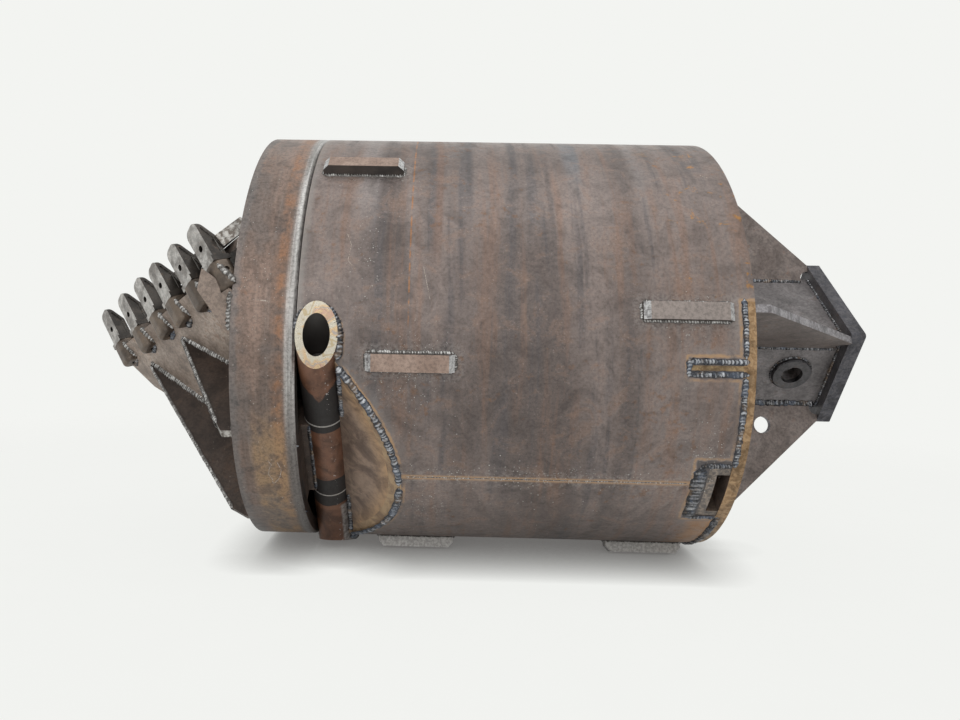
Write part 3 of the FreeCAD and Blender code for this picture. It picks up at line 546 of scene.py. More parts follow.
def bar_steel():
    """Wear bar: brown rolled top, dark sides, ends ground bright, and painted light on the sides of the
    lowest bars.
    """
    s = Shader("bar_steel")
    outward = s.value("VectorMath", 0, {0: s.scaled(s.place, 0, 1, 1)}, operation="NORMALIZE")
    upright = s.dot(s.facing, outward)
    top = upright.fade(0.8, 0.95)
    slant = upright.fade(0.4, 0.6) * (1 - top)
    fine = s.noise(60, 5, 0.65)
    broad = s.noise(12, 5, 0.6, 0.4)
    scrape = s.noise(120, 5, 0.7, 0.4)
    crown = s.mix(broad.fade(0.4, 0.6), (0.32, 0.225, 0.178), (0.43, 0.315, 0.255))
    crown = s.mix(s.x.fade(END - 0.4, END - 0.35) * 0.75, crown, (0.33, 0.298, 0.28))
    crown = s.mottle(crown, s.noise(120, 6, 0.72), 0.36, 0.58, 0.66)
    # Painted light: a light grey on the sides of the lowest bars, which lie in shade
    wear_and_painted_light = s.mix(s.noise(150, 4, 0.6).fade(0.38, 0.62), (0.33, 0.315, 0.3), (0.5, 0.485, 0.465))
    colour = s.lay(
        s.mix(broad.fade(0.38, 0.62), (0.05, 0.043, 0.04), (0.085, 0.07, 0.062)),
        (s.z.fade(-0.5, -0.54), wear_and_painted_light),
        (top, crown),
        (slant, s.mix(scrape.fade(0.36, 0.58), (0.26, 0.25, 0.255), (0.66, 0.66, 0.66))),
        (s.noise(600, 2, 0.5).fade(0.6, 0.7) * 0.5, (0.06, 0.05, 0.045)),
    )
    height = fine * 0.6 + scrape * 0.5
    return s.finish(colour, 0.48 + (fine - 0.5) * 0.3, 0.25 + slant * 0.5, height, 0.0008)


def tooth_steel(letter, thick, tip):
    """Forged tooth: the flat back, turned against thick, in a light tone; the hollow sides dark."""
    s = Shader("tooth_forging_" + letter)
    fine = s.noise(90, 5, 0.65)
    broad = s.noise(22, 5, 0.6, 0.4)
    tiny = s.noise(700, 2, 0.5)
    light_side = s.mix(broad.fade(0.36, 0.62), (0.27, 0.25, 0.232), (0.6, 0.58, 0.55))
    wear_and_painted_light = s.dot(s.facing, tip).fade(0.55, 0.85) * fine.fade(0.4, 0.56)
    colour = s.lay(
        s.mix(broad.fade(0.38, 0.62), (0.024, 0.02, 0.017), (0.056, 0.047, 0.04)),
        (s.dot(s.facing, -thick).fade(0.8, 0.93), s.mottle(light_side, fine, 0.4, 0.58, 0.66)),
        (wear_and_painted_light * 0.7, (0.42, 0.4, 0.38)),
        (fine.fade(0.58, 0.68) * 0.35, (0.2, 0.14, 0.1)),
        (tiny.fade(0.6, 0.7) * 0.45, (0.045, 0.038, 0.034)),
    )
    return s.finish(colour, 0.42 + (fine - 0.5) * 0.3, 0.45, fine * 0.7 + tiny * 0.3, 0.0007)


def weld_steel(name, slag, metal, tinted):
    """Weld metal: dark slag in the valleys and bright crests, partly painted shade and highlight, near white
    on the highest crests; blued and browned in places.
    """
    s = Shader(name)
    crest = s.value("Attribute", "Fac", attribute_name="crest")
    fine = s.noise(190, 5, 0.7)
    broad = s.noise(22, 4, 0.6, 0.5)
    patch = s.noise(62, 3, 0.6, 0.6)
    level = crest + (fine - 0.5) * 1.6 + (patch - 0.5) * 1.5
    colour = s.mix(level.fade(0.2, 0.95), slag, metal)
    if tinted:
        colour = s.lay(
            colour,
            (broad.fade(0.52, 0.62) * 0.4, (0.12, 0.15, 0.21)),
            (broad.fade(0.46, 0.36) * 0.45, (0.26, 0.17, 0.1)),
        )
    # Painted highlight: near white on the highest crests
    shine = level.fade(0.95, 1.3) * broad.fade(0.4, 0.58)
    colour = s.mix(shine * 0.9, colour, (0.8, 0.8, 0.79))
    return s.finish(colour, 0.26 + fine * 0.2, 0.6, fine, 0.0003)


def pocket_steel():
    """The stop plate of the gate: straw heat tint, deepest beside its weld."""
    s = Shader("pocket_plate")
    stain = s.noise(13, 6, 0.62, 0.7)
    fine = s.noise(90, 5, 0.68)
    height = s.dot(s.place, radial(HINGE_AZIMUTH), HINGE_RADIUS)
    rim = s.length(s.y, s.z).fade(0.548, 0.59) * (0.55 + stain.fade(0.4, 0.6) * 0.45)
    foot = (height + (stain - 0.5) * 0.06).fade(0.055, 0.03)
    specks = s.cells(110).fade(0.11, 0.06) * s.noise(14, 2).fade(0.5, 0.6)
    colour = s.lay(
        s.mix(stain.fade(0.36, 0.62), (0.165, 0.114, 0.088), (0.37, 0.268, 0.2)),
        (rim * 0.8, (0.56, 0.345, 0.17)),
        (foot * 0.45, (0.09, 0.066, 0.052)),
    )
    colour = s.mix(specks * 0.5, s.mottle(colour, fine, 0.36, 0.56, 0.78), (0.56, 0.5, 0.42))
    return s.finish(colour, 0.42 + (fine - 0.5) * 0.3, 0.35, fine, 0.0006)


# The tooth rows' directions, as in the CAD part
def plate_normal(turn):
    """The way out of a row's carrier plate."""
    slope_angle = math.radians(ROW_SLOPE)
    lean = math.radians(PLATE_LEAN)
    away = X * -math.cos(slope_angle) + radial(turn) * math.sin(slope_angle)
    return away * math.cos(lean) - tangent(turn) * math.sin(lean)


def tooth_frame(turn, radius):
    """Root centre, directions (tip, width, thickness) and hole of a tooth."""
    out = radial(turn)
    forward = tangent(turn)
    lean = math.radians(TOOTH_LEAN)
    slope_angle = math.radians(ROW_SLOPE)
    tip = X * -math.cos(lean) + forward * math.sin(lean)
    across = X * math.sin(lean) + forward * math.cos(lean)
    wide = out * math.cos(slope_angle) + across * math.sin(slope_angle)
    thick = across * math.cos(slope_angle) - out * math.sin(slope_angle)
    hole = X * (HOLE_X + (radius - FIRST_TOOTH) * math.tan(slope_angle)) + out * radius
    root = hole + thick * (BLADE_T / 2) - tip * HOLE_FROM_ROOT
    return root, tip, wide, thick, hole


def in_pocket(x, turn):
    """Whether a point of the barrel's outside was cut away for the gate's swing."""
    off = math.radians(turn - HINGE_AZIMUTH)
    if abs(off) > math.pi / 2:
        return False
    height = RADIUS * math.cos(off) - HINGE_RADIUS
    return height > -0.06 and x < HINGE_X + height / math.tan(math.radians(POCKET_SLOPE)) + 0.03


def plane_levels(name, direction):
    """How far out a node's flat faces with one outward direction lie."""
    levels = []
    for face in nodes[name].data.polygons:
        if face.normal.dot(direction) < 0.999 or face.area < 0.002:
            continue
        level = face.center.dot(direction)
        if all(abs(level - known) > 0.0005 for known in levels):
            levels.append(level)
    return levels


# Weld beads, built as rows of overlapping ripples along a path of (point, outward direction) pairs
COLUMNS = 7
welds = {}


def resample(path, step):
    samples = []
    for (start, out_start), (stop, out_stop) in zip(path, path[1:]):
        count = max(1, round((stop - start).length / step))
        for index in range(count):
            share = index / count
            samples.append((start.lerp(stop, share), out_start.lerp(out_stop, share).normalized()))
    samples.append(path[-1])
    return samples


def sideways(path, index):
    """The direction across a path at one of its points."""
    before = path[max(0, index - 1)][0]
    after = path[min(len(path) - 1, index + 1)][0]
    return (after - before).cross(path[index][1]).normalized()


def bead(body, path, width, height, ripple=0.0075, kind="dark"):
    """Add a bead to a body's welds of a kind. Its character changes every 4 samples."""
    vertices, faces, crests = welds.setdefault((body, kind), ([], [], []))
    samples = resample(path, ripple / 5)
    rng = random.Random(len(vertices) + 7)
    last = len(samples) - 1
    if last < 2:
        return
    first = len(vertices)
    swell = 1
    drift = phase = 0
    for index, (point, out) in enumerate(samples):
        side = sideways(samples, index)
        if index % 4 == 0:
            pace = rng.uniform(0.12, 0.29)
            depth = rng.uniform(0.08, 0.3)
            wanted = 1 + rng.uniform(-0.2, 0.2)
            aside = rng.uniform(-0.07, 0.07)
            gleam = rng.uniform(0.45, 1)
        phase += pace
        swell += (wanted - swell) * 0.4
        drift += (aside - drift) * 0.4
        ends = min(1, 0.25 + min(index, last - index) / 6)
        for column in range(COLUMNS):
            across = 2 * column / (COLUMNS - 1) - 1
            crown = math.sqrt(max(0, 1 - across * across))
            wave = 0.5 + 0.5 * math.cos(2 * math.pi * (phase - 0.45 * across * across))
            lift = height * crown * (1 - 2 * depth * (1 - wave)) * ends * swell - 0.0007
            vertices.append(point + side * ((across * swell / 2 + drift) * width * ends) + out * lift)
            # How light the weld is painted here: lighter on the crests, partly as painted highlight
            crests.append(crown * (0.3 + 0.7 * wave) * gleam)
    for index in range(last):
        for column in range(COLUMNS - 1):
            a = first + index * COLUMNS + column
            faces.append((a, a + 1, a + COLUMNS + 1, a + COLUMNS))


def add_object(name, data):
    made = bpy.data.objects.new(name, data)
    bpy.context.scene.collection.objects.link(made)
    return made


def piece(name, vertices, faces, material, body):
    mesh = bpy.data.meshes.new(name)
    mesh.from_pydata(vertices, [], faces)
    mesh.validate()
    mesh.polygons.foreach_set("use_smooth", [True] * len(mesh.polygons))
    mesh.materials.append(material)
    made = add_object(name, mesh)
    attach(made, body)
    return made


def on_barrel(x, azimuth, lift=0):
    return X * x + radial(azimuth) * (RADIUS + lift), radial(azimuth)


def along_barrel(points, lift=0):
    """A path over the barrel through (x, azimuth) points, with short steps round it."""
    path = []
    for (x0, a0), (x1, a1) in zip(points, points[1:]):
        count = max(1, round(abs(a1 - a0) / 2))
        for index in range(count):
            share = index / count
            path.append(on_barrel(x0 + (x1 - x0) * share, a0 + (a1 - a0) * share, lift))
    path.append(on_barrel(*points[-1], lift))
    return path


def edges_on(names, point, normal, shortest):
    """Straight edges of CAD nodes that lie in a plane, with the way out between the two surfaces."""
    found = []
    for name in names:
        bm = bmesh.new()
        bm.from_mesh(nodes[name].data)
        bmesh.ops.remove_doubles(bm, verts=bm.verts, dist=0.00002)
        for edge in bm.edges:
            if len(edge.link_faces) != 2:
                continue
            start, stop = [v.co.copy() for v in edge.verts]
            if any(abs((end - point).dot(normal)) > 0.0006 for end in (start, stop)):
                continue
            if (stop - start).length < shortest:
                continue
            sides = [face.normal for face in edge.link_faces if abs(face.normal.dot(normal)) < 0.95]
            if len(sides) == 1:
                found.append((start, stop, (sides[0] + normal).normalized()))
        bm.free()
    return found


def weld_edges(body, names, point, normal, width, height, shortest, kind="dark"):
    normal = normal.normalized()
    for start, stop, out in edges_on(names, point, normal, shortest):
        bead(body, [(start, out), (stop, out)], width, height, kind=kind)


def hinge_point(x, y, z):
    """A point drawn at the top (y along the hinge, z outward), turned to the hinge's azimuth."""
    return X * x + tangent(HINGE_AZIMUTH) * y + radial(HINGE_AZIMUTH) * z


# Barrel: wear bars
for at, turn in BARS:
    x0 = SEAM + at
    x1 = x0 + BAR_LENGTH
    half = math.degrees(BAR_HALF / RADIUS)
    corners = [(x0, turn - half), (x1, turn - half), (x1, turn + half), (x0, turn + half)]
    for corner, following in zip(corners, corners[1:] + corners[:1]):
        bead("barrel", along_barrel([corner, following]), 0.0135, 0.0055, 0.0062, "bright")

# Barrel: the pocket's rim, the sleeves, and the shell's seam
slope_angle = math.radians(POCKET_SLOPE)
slope = math.tan(slope_angle)
SLEEVE_WELD = KNUCKLE + 0.005
for side in (-1, 1):
    rim = []
    for index in range(40):
        y = side * (0.004 + 0.316 * index / 39)
        z = math.sqrt(RADIUS ** 2 - y ** 2)
        out = hinge_point(0, y, z).normalized()
        rim.append((hinge_point(HINGE_X + (z - HINGE_RADIUS) / slope - 0.004, y, z - 0.001), out))
    bead("barrel", rim, 0.02, 0.0075, 0.0095, "blue")
    collar = []
    for index in range(41):
        turn = math.radians(-166 + 196 * index / 40)
        x = HINGE_X + SLEEVE_WELD * math.cos(turn)
        z = HINGE_RADIUS + SLEEVE_WELD * math.sin(turn)
        y = side * (math.sqrt(RADIUS ** 2 - z ** 2) + 0.01)
        out = hinge_point(math.cos(turn), 0, math.sin(turn)) + hinge_point(0, y, z).normalized()
        collar.append((hinge_point(x, y, z), out.normalized()))
    bead("barrel", collar, 0.021, 0.0075, 0.01, "blue")
seam_path = along_barrel([(SEAM + 0.262, SHELL_SEAM), (END - 0.127, SHELL_SEAM)])
bead("barrel", seam_path, 0.0045, 0.0014, 0.006, "bright")

# Barrel: the rib's strip, the port and the end plate, as two points (distance from the end, azimuth)
for start, stop, width, height, ripple, kind in (
    ((0.016, -4.85), (0.158, -4.85), 0.016, 0.0065, 0.0085, "blue"),
    ((0.158, -4.3), (0.158, -8.3), 0.016, 0.0065, 0.0085, "blue"),
    ((0.158, -7.75), (0.016, -7.75), 0.016, 0.0065, 0.0085, "blue"),
    ((0.025, 9.6), (0.025, -4.2), 0.015, 0.006, 0.0085, "blue"),
    ((0.025, -8.4), (0.025, -31), 0.016, 0.0065, 0.0085, "blue"),
    ((0.025, -49.2), (0.025, -80), 0.019, 0.007, 0.009, "dark"),
    ((0.03, -30.6), (0.106, -30.6), 0.015, 0.006, 0.0085, "dark"),
    ((0.103, -31), (0.103, -49.6), 0.034, 0.0085, 0.015, "dark"),
    ((0.106, -49.4), (0.03, -49.4), 0.012, 0.005, 0.0085, "dark"),
):
    path = along_barrel([(END - back, turn) for back, turn in (start, stop)])
    bead("barrel", path, width, height, ripple, kind)
end_face = X * END
bead("barrel", [(end_face + radial(turn) * (RADIUS - WALL), X) for turn in range(11, 279, 2)], 0.011, 0.003)

# Barrel: kelly box, the corners under the hinge tubes, gussets, head plate and pin bosses
weld_edges("barrel", ["kelly_stem"], end_face, X, 0.014, 0.006, 0.2)
for side in (-1, 1):
    corner = []
    for index in range(14):
        place = hinge_point(
            HINGE_X + 0.06 * math.cos(slope_angle),
            side * (0.15 + 0.155 * index / 13),
            HINGE_RADIUS + 0.06 * math.sin(slope_angle),
        )
        corner.append((place, hinge_point(-0.2, 0, 1).normalized()))
    bead("barrel", corner, 0.015, 0.006)
foot = radial(HINGE_AZIMUTH - 45) * 0.187
near_side = tangent(HINGE_AZIMUTH - 45)
edge = [(X * x + foot + near_side * 0.012, near_side) for x in (END + 0.006, HEAD_BACK - 0.005)]
bead("barrel", edge, 0.022, 0.0085, 0.009)
weld_edges("barrel", GUSSETS, end_face, X, 0.012, 0.005, 0.1)
weld_edges("barrel", ["kelly_stem"], X * HEAD_BACK, -X, 0.014, 0.006, 0.2)
for quarter in range(4):
    face = radial(HINGE_AZIMUTH + 90 * quarter)
    weld_edges("barrel", GUSSETS, face * STEM_HALF, face, 0.016, 0.0065, 0.1)
for side in (0, 180):
    out = radial(HINGE_AZIMUTH + side)
    across = tangent(HINGE_AZIMUTH + side)
    ring = []
    for index in range(49):
        turn = 2 * math.pi * index / 48
        spoke = X * math.cos(turn) + across * math.sin(turn)
        ring.append((out * STEM_HALF + spoke * BOSS_WELD, (out + spoke).normalized()))
    bead("barrel", ring, 0.01, 0.0045)


def holder_bead(bases, thick, plate, out, reach, width, ripple, kind):
    """A bead where a holder meets the carrier plate: each base moves along its thickness onto the plate."""
    face, normal = plate
    path = []
    for base in bases:
        depth = -(base - face).dot(normal) / thick.dot(normal)
        if abs(depth) < reach:
            path.append((base + thick * depth, out.normalized()))
    if len(path) > 2:
        bead("gate", path, width, ripple, ripple, kind)


# Gate: arm and knuckle, inner rim, tooth rows
arm_out = hinge_point(-0.3, 0, 1).normalized()
arm_edge = [
    (hinge_point(HINGE_X - 0.035, y, HINGE_RADIUS + ARM_TOP), arm_out) for y in (-ARM_HALF, ARM_HALF)
]
bead("gate", arm_edge, 0.012, 0.005)
for side in (-1, 1):
    out = hinge_point(0, side, 0.5).normalized()
    short = [(hinge_point(x, side * 0.1262, 0.5835), out) for x in (BAND_BACK, BAND_BACK + 0.006)]
    bead("gate", short, 0.01, 0.004)
for letter, turn, radii in ROWS:
    braces = "row_braces_" + letter
    plates = ["tooth_plate_" + letter, "row_ramp_" + letter, braces]
    weld_edges("gate", plates, X * BAND_FRONT, -X, 0.013, 0.0055, 0.03)
    normal = plate_normal(turn)
    plate = (tooth_frame(turn, radii[0])[4] + normal * PLATE_OFFSET, normal)
    weld_edges("gate", [braces], *plate, 0.024, 0.0085, 0.08, "bright")
    for flat in main_normals(braces, 3):
        for way in (-flat, flat):
            for level in plane_levels(braces, way):
                weld_edges("gate", [braces], way * level, way, 0.011, 0.0035, 0.05, "bright")
    brace_side = radial(turn + BRACE_TURN)
    brace_foot = X * (BAND_FRONT - 0.006) + brace_side * 0.5905
    out = (brace_side - X * 0.6).normalized()
    cap = [(brace_foot + tangent(turn + BRACE_TURN) * y, out) for y in (0, 0.094)]
    bead("gate", cap, 0.019, 0.008, 0.009, "bright")
    for radius in radii:
        root, tip, wide, thick = tooth_frame(turn, radius)[:4]
        for side in (-1, 1):
            edge = root + wide * (side * HOLDER_HALF)
            backs = [COLLAR + 0.012 + (HOLDER_LENGTH - 0.016) * index / 11 for index in range(12)]
            bases = [edge - tip * back for back in backs]
            kind = "bright" if side > 0 else "dark"
            holder_bead(bases, thick, plate, normal + wide * side, HOLDER_HALF - 0.004, 0.017, 0.0085, kind)
        rear = tip * (COLLAR + HOLDER_LENGTH)
        bases = [root + wide * (HOLDER_HALF * (-0.75 + 1.5 * index / 6)) - rear for index in range(7)]
        holder_bead(bases, thick, plate, normal - tip, HOLDER_HALF, 0.019, 0.009, "dark")

weld_materials = {
    "dark": weld_steel("weld_blued", (0.03, 0.03, 0.033), (0.3, 0.302, 0.315), True),
    "blue": weld_steel("weld_silvery", (0.045, 0.047, 0.054), (0.48, 0.495, 0.525), True),
    "bright": weld_steel("weld_bright", (0.1, 0.092, 0.086), (0.58, 0.57, 0.555), False),
}
for (body, kind), (vertices, faces, crests) in welds.items():
    name = "weld_beads_" + kind + "_" + body
    made = piece(name, vertices, faces, weld_materials[kind], body)
    made.data.attributes.new("crest", "FLOAT", "POINT").data.foreach_set("value", crests)

# Spatter: small frozen drops round the welds
DROP = [
    (1, 0, 0), (0.5, 0.87, 0), (-0.5, 0.87, 0), (-1, 0, 0), (-0.5, -0.87, 0), (0.5, -0.87, 0),
    (0.6, 0, 0.75), (-0.3, 0.52, 0.75), (-0.3, -0.52, 0.75),
]
DROP_FACES = [
    (0, 1, 6), (1, 7, 6), (1, 2, 7), (2, 3, 7), (3, 8, 7),
    (3, 4, 8), (4, 5, 8), (5, 6, 8), (5, 0, 6), (6, 7, 8),
]
drop_metal = simple_steel(
    "weld_drops", (0.28, 0.26, 0.24), (0.52, 0.5, 0.47), (0.2, 0.15, 0.12), 0.2, 0.35, 0.6,
)


def spatter(body, spots):
    vertices = []
    faces = []
    for point, out, radius in spots:
        side = out.orthogonal().normalized()
        across = out.cross(side)
        first = len(vertices)
        for x, y, z in DROP:
            vertices.append(point + (side * x + across * y) * radius + out * (z * radius * 0.9 - 0.0003))
        for face in DROP_FACES:
            faces.append([first + corner for corner in face])
    piece("spatter_" + body, vertices, faces, drop_metal, body)


drops = random.Random(11)
spots = []
# How many drops, round which X and azimuth, each with its spread
for count, centre_x, spread_x, centre_a, spread_a in (
    (240, SEAM + 0.6, 0.17, -35, 1.75), (120, SEAM + 0.27, 0.045, -10, 8), (120, SEAM + 0.32, 0.04, -48, 6),
    (140, END - 0.1, 0.03, -28, 6), (100, SEAM + 0.28, 0.055, -6, 3), (80, SEAM + 0.13, 0.06, 44, 2.5),
    (80, END - 0.13, 0.05, 5, 2.5), (80, SEAM + 0.5, 0.14, -50, 7), (60, SEAM + 0.17, 0.025, 20, 6),
):
    for index in range(count):
        x = drops.gauss(centre_x, spread_x)
        turn = drops.gauss(centre_a, spread_a)
        if SEAM + 0.02 < x < END - 0.05 and not in_pocket(x, turn):
            spots.append((*on_barrel(x, turn), drops.uniform(0.0006, 0.0018)))
spatter("barrel", spots)
spots = []
for index in range(150):
    x = drops.uniform(BAND_FRONT + 0.006, BAND_BACK - 0.008)
    spots.append((*on_barrel(x, drops.gauss(0, 40)), drops.uniform(0.0006, 0.0015)))
spatter("gate", spots)

# Marks scratched by hand, bare and bright: body, width and points (millimetres from the seam, azimuth)
MARKS = [
    ("gate", 0.0016, [(-76, -32.1), (-68, -33.4), (-74, -34.4), (-79, -36.4), (-69, -38.4)]),
    ("gate", 0.0016, [(-53, -32.5), (-45, -35), (-50, -37), (-56, -38.2), (-68, -39.6), (-72, -38.6)]),
    ("gate", 0.0018, [(-99, 7.1), (-84, 7), (-68, 6.8)]),
    ("barrel", 0.0024, [(1023, 46.2), (1031, 45.5), (1039, 45.1)]),
    ("barrel", 0.001, [(300, 16), (318, 8)]),
    ("barrel", 0.001, [(110, 24), (122, 21), (116, 17), (134, 15)]),
]
bare = Shader("bare_scratch")
wear_and_painted_light = bare.noise(300, 3, 0.6).fade(0.4, 0.6)
bare_metal = bare.finish(bare.mix(wear_and_painted_light, (0.2, 0.16, 0.13), (0.5, 0.44, 0.39)), 0.45, 0.5)
for number, (body, width, points) in enumerate(MARKS, 1):
    path = resample(along_barrel([(SEAM + x / 1000, turn) for x, turn in points], 0.00015), 0.004)
    vertices = []
    faces = []
    for index, (point, out) in enumerate(path):
        side = sideways(path, index) * (width / 2)
        vertices += [point - side, point + side]
        if index:
            a = 2 * index - 2
            faces.append((a, a + 1, a + 3, a + 2))
    piece("scratch_" + str(number), vertices, faces, bare_metal, body)


def paint(names, material):
    for name in names:
        slots = nodes[name].data.materials
        if not slots:
            slots.append(material)
        for index in range(len(slots)):
            slots[index] = material


paint(["barrel_shell"], mill_scale())
paint(["gate_band"], band_steel())
paint(["hinge_sleeve_upper", "hinge_sleeve_lower", "gate_knuckle"], hinge_steel())
paint(["wear_bars_front", "wear_bars_rear"], bar_steel())
paint(["pocket_plate", "hinge_cradle"], pocket_steel())

# Plates: node, material, main directions, tones (dark, light, rust, cut edge, its bright parts), roughness
# and scratches
stem_sides = [radial(HINGE_AZIMUTH), radial(HINGE_AZIMUTH + 90), X]
plates = [
    ("kelly_stem", "stem_plate", stem_sides, (0.178, 0.163, 0.163), (0.29, 0.268, 0.268), (0.21, 0.15, 0.12),
     (0.2, 0.17, 0.16), (0.34, 0.3, 0.28), 0.48, 0.18),
    ("head_plate", "head_plate", [X], (0.12, 0.118, 0.128), (0.18, 0.172, 0.176), (0.2, 0.13, 0.095),
     (0.075, 0.075, 0.088), (0.13, 0.125, 0.135), 0.5, 0.2),
    ("pin_bosses", "boss_plate", stem_sides, (0.055, 0.052, 0.056), (0.11, 0.104, 0.106), (0.13, 0.09, 0.07),
     (0.045, 0.043, 0.048), (0.13, 0.125, 0.13), 0.45, 0.35),
    ("end_plate", "end_plate", [X], (0.12, 0.092, 0.078), (0.2, 0.15, 0.125), (0.26, 0.13, 0.06),
     (0.33, 0.205, 0.105), (0.5, 0.335, 0.19), 0.5, 0.2),
    ("port_frame", "port_frame", [X, tangent(HINGE_AZIMUTH)], (0.13, 0.1, 0.08), (0.2, 0.15, 0.115),
     (0.28, 0.15, 0.07), (0.17, 0.155, 0.145), (0.36, 0.3, 0.25), 0.5, 0.2),
    ("end_ribs", "end_ribs", main_normals("end_ribs", 2), (0.14, 0.105, 0.085), (0.21, 0.155, 0.12),
     (0.28, 0.14, 0.06), (0.3, 0.185, 0.085), (0.52, 0.37, 0.19), 0.5, 0.2),
    ("gate_arm", "arm_plate", [], (0.085, 0.062, 0.05), (0.15, 0.108, 0.085), (0.21, 0.105, 0.055),
     (0.2, 0.15, 0.12), (0.3, 0.24, 0.2), 0.55, 0.2),
    ("bottom_plate", "bottom_plate", [X], (0.105, 0.082, 0.07), (0.18, 0.14, 0.12), (0.23, 0.12, 0.065),
     (0.22, 0.17, 0.14), (0.42, 0.36, 0.3), 0.55, 0.25),
]
for name in GUSSETS:
    # Painted light: the top and bottom gussets get lighter copies of the same tones
    lift = 1.25 if name in ("gusset_bottom", "gusset_top") else 1
    tones = [(0.172, 0.138, 0.124), (0.25, 0.21, 0.192), (0.23, 0.125, 0.08)]
    tones = [[lift * c for c in tone] for tone in tones]
    tones += [(0.23, 0.215, 0.225), (0.4, 0.385, 0.4)]
    plates.append((name, name, main_normals(name, 1), *tones, 0.5, 0.3))
for letter, turn, radii in ROWS:
    top, braces, ramp = ["tooth_plate_" + letter, "row_braces_" + letter, "row_ramp_" + letter]
    brace_side = radial(turn + BRACE_TURN)
    plates += [
        (top, top, [plate_normal(turn)], (0.3, 0.235, 0.192), (0.5, 0.41, 0.345), (0.34, 0.205, 0.135),
         (0.16, 0.13, 0.11), (0.42, 0.37, 0.33), 0.5, 0.3),
        # The braces: dark brown deepened as painted shade under the tooth plate, with painted light on the
        # faces turned towards brace_side
        (braces, "braces_" + letter, main_normals(braces, 3) + [brace_side], (0.048, 0.033, 0.026),
         (0.092, 0.064, 0.05), (0.115, 0.066, 0.042), (0.15, 0.13, 0.115), (0.55, 0.53, 0.5), 0.52, 0.15,
         brace_side),
        (ramp, "ramp_" + letter, main_normals(ramp, 4), (0.135, 0.105, 0.088), (0.23, 0.185, 0.158),
         (0.25, 0.14, 0.08), (0.17, 0.145, 0.125), (0.58, 0.56, 0.53), 0.48, 0.3),
    ]
    tip, wide, thick = tooth_frame(turn, radii[0])[1:4]
    numbers = [letter + str(number) for number in range(1, len(radii) + 1)]
    paint(["tooth_" + number for number in numbers], tooth_steel(letter, thick, tip))
    paint(["holder_" + number for number in numbers], simple_steel(
        "holder_forging_" + letter, (0.078, 0.06, 0.048), (0.18, 0.14, 0.108), (0.23, 0.145, 0.085),
        0.35, 0.36, 0.45, 3,
    ))
for name, *look in plates:
    paint([name], plate_steel(*look))

# Small parts: nodes, material, tones (dark, light, rust), share of rust, roughness and metallic look
for names, *look in (
    (["hinge_pin", "push_rod", "latch_bracket", "rod_guides", "gate_catch"], "machined_steel",
     (0.11, 0.1, 0.095), (0.2, 0.19, 0.18), (0.15, 0.1, 0.07), 0.2, 0.4, 0.7),
    (["latch_hook", "flap_hinge_a", "flap_hinge_b"], "hook_steel",
     (0.075, 0.06, 0.052), (0.13, 0.105, 0.09), (0.19, 0.1, 0.055), 0.4, 0.5, 0.45),
    (["flap_a", "flap_b"], "flap_steel",
     (0.12, 0.09, 0.075), (0.19, 0.15, 0.125), (0.24, 0.12, 0.06), 0.5, 0.55, 0.35),
    (["return_spring"], "spring_steel",
     (0.04, 0.04, 0.044), (0.08, 0.08, 0.085), (0.13, 0.085, 0.06), 0.2, 0.38, 0.75),
):
    paint(names, simple_steel(*look))

# The return spring stretches between the end plate and the striker, as a copy of the CAD coil
coil = nodes["return_spring"].data.copy()
coil.transform(nodes["return_spring"].matrix_world)
spring = add_object("return_spring_coil", coil)
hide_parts("return_spring")
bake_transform(spring)


def direct_rays(s):
    """1 for rays that reach the picture: from the camera, off a glossy surface or through a clear one."""
    kinds = ("Camera", "Transmission", "Glossy")
    return s.largest(*[s.value("LightPath", "Is " + kind + " Ray") for kind in kinds])


# Floor: a pale sheet that fades into the background. To the camera it mostly glows paper white with a
# painted shadow from ambient occlusion near the bucket, and keeps a little of the real soft shadow.
corners = [(-1, -1), (1, -1), (1, 1), (-1, 1)]
sheet = bpy.data.meshes.new("floor")
sheet.from_pydata([(FLOOR_REACH * x, FLOOR_REACH * y, low[2]) for x, y in corners], [], [(0, 1, 2, 3)])
floor = add_object("floor", sheet)
floor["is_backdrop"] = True
ground = Shader("ground")
tone = ground.noise(7, 5, 0.6).fade(0.3, 0.7)
# Painted shadow: the paper turns dark where ambient occlusion finds the bucket near
painted_shadow_ao = ground.value("AmbientOcclusion", "AO", {"Distance": 0.155}, samples=12)
shaded = ground.mix(painted_shadow_ao, (0.13, 0.125, 0.12), ground.mix(tone, (0.893, 0.902, 0.877), PAPER))
glow = ground.value("Emission", 0, {"Color": shaded, "Strength": 1})
plain = ground.value("BsdfDiffuse", 0, {"Color": (0.8, 0.8, 0.785)})
pale = ground.value("MixShader", 0, {0: direct_rays(ground) * 0.94, 1: plain, 2: glow})
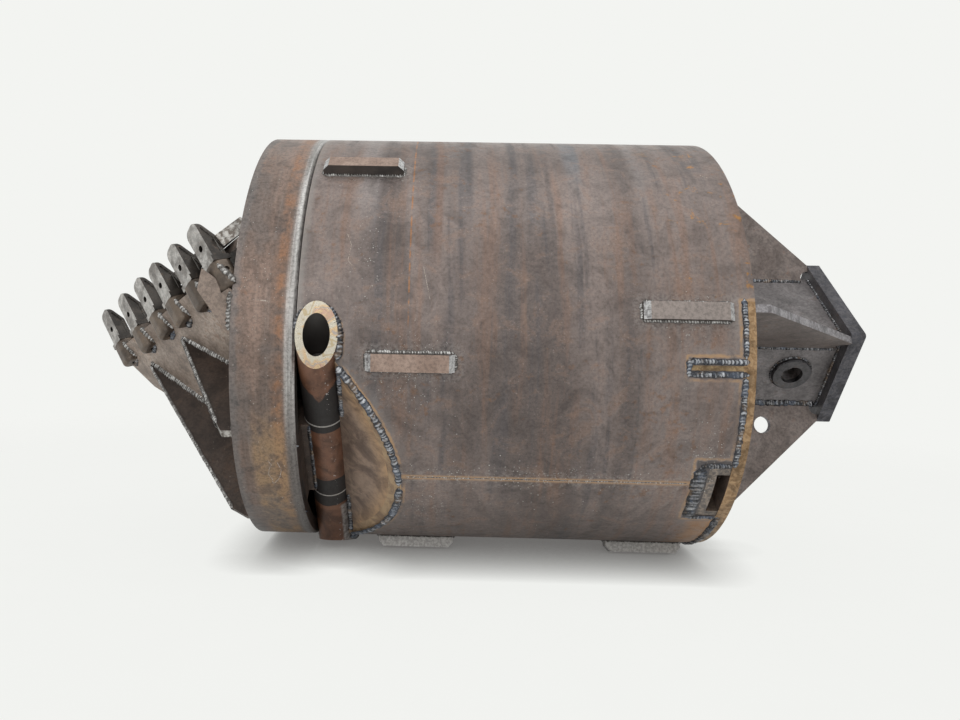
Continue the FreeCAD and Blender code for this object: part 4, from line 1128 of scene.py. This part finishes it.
away = ground.length(ground.x - (low[0] + high[0]) / 2, ground.y)
clear = ground.value("BsdfTransparent", 0)
blend = ground.value("MixShader", 0, {0: away.fade(2.2, 4.2), 1: pale, 2: clear})
ground.new("OutputMaterial", {"Surface": blend})
sheet.materials.append(ground.owner)

# World: paper to the camera, and to all else a soft sky that is brighter above than below
sky = Shader("studio", bpy.data.worlds)
bpy.context.scene.world = sky.owner
rise = sky.value("SeparateXYZ", "Z", {0: sky.value("TexCoord", "Generated")})
strength = rise.fade(-0.6, 0.85, SKY_BELOW, SKY_ABOVE)
soft = sky.value("Background", 0, {"Color": (1, 1, 1), "Strength": strength})
paper = sky.value("Background", 0, {"Color": PAPER, "Strength": 1})
sky.new("OutputWorld", {"Surface": sky.value("MixShader", 0, {0: direct_rays(sky), 1: soft, 2: paper})})

# Two softboxes: name, place, what it points at, width, height and power
for name, place, aim, width, height, power in (
    ("top_light", (-0.6, -1.2, 3.4), (-0.9, 0, 0), 2.6, 1.6, 26),
    ("front_light", (-1.6, -3.4, 1), (-0.9, 0, 0), 2, 1.6, 20),
):
    data = bpy.data.lights.new(name, "AREA")
    data.shape = "RECTANGLE"
    data.size = width
    data.size_y = height
    data.energy = power
    lamp = add_object(name, data)
    lamp.location = place
    lamp.rotation_euler = (Vector(aim) - Vector(place)).to_track_quat("-Z", "Y").to_euler()

# Camera, fitted to the rims and outlines in the photograph
camera_data = bpy.data.cameras.new("camera")
camera_data.sensor_width = 36
camera_data.lens = 28.67
camera_data.shift_x = 0.0552
camera_data.shift_y = -0.0948
camera = add_object("camera", camera_data)
pan = Matrix.Rotation(math.radians(1.18), 4, "Z")
tilt = Matrix.Rotation(math.radians(4.88), 4, "X")
roll = Matrix.Rotation(math.radians(-1.17), 4, "Y")
upright = Matrix.Rotation(math.radians(90), 4, "X")
camera.matrix_world = Matrix.Translation((SEAM + 0.347, -2.422, 0)) @ pan @ tilt @ roll @ upright
bpy.context.scene.camera = camera
bpy.context.scene.view_settings.view_transform = "Standard"

low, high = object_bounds()
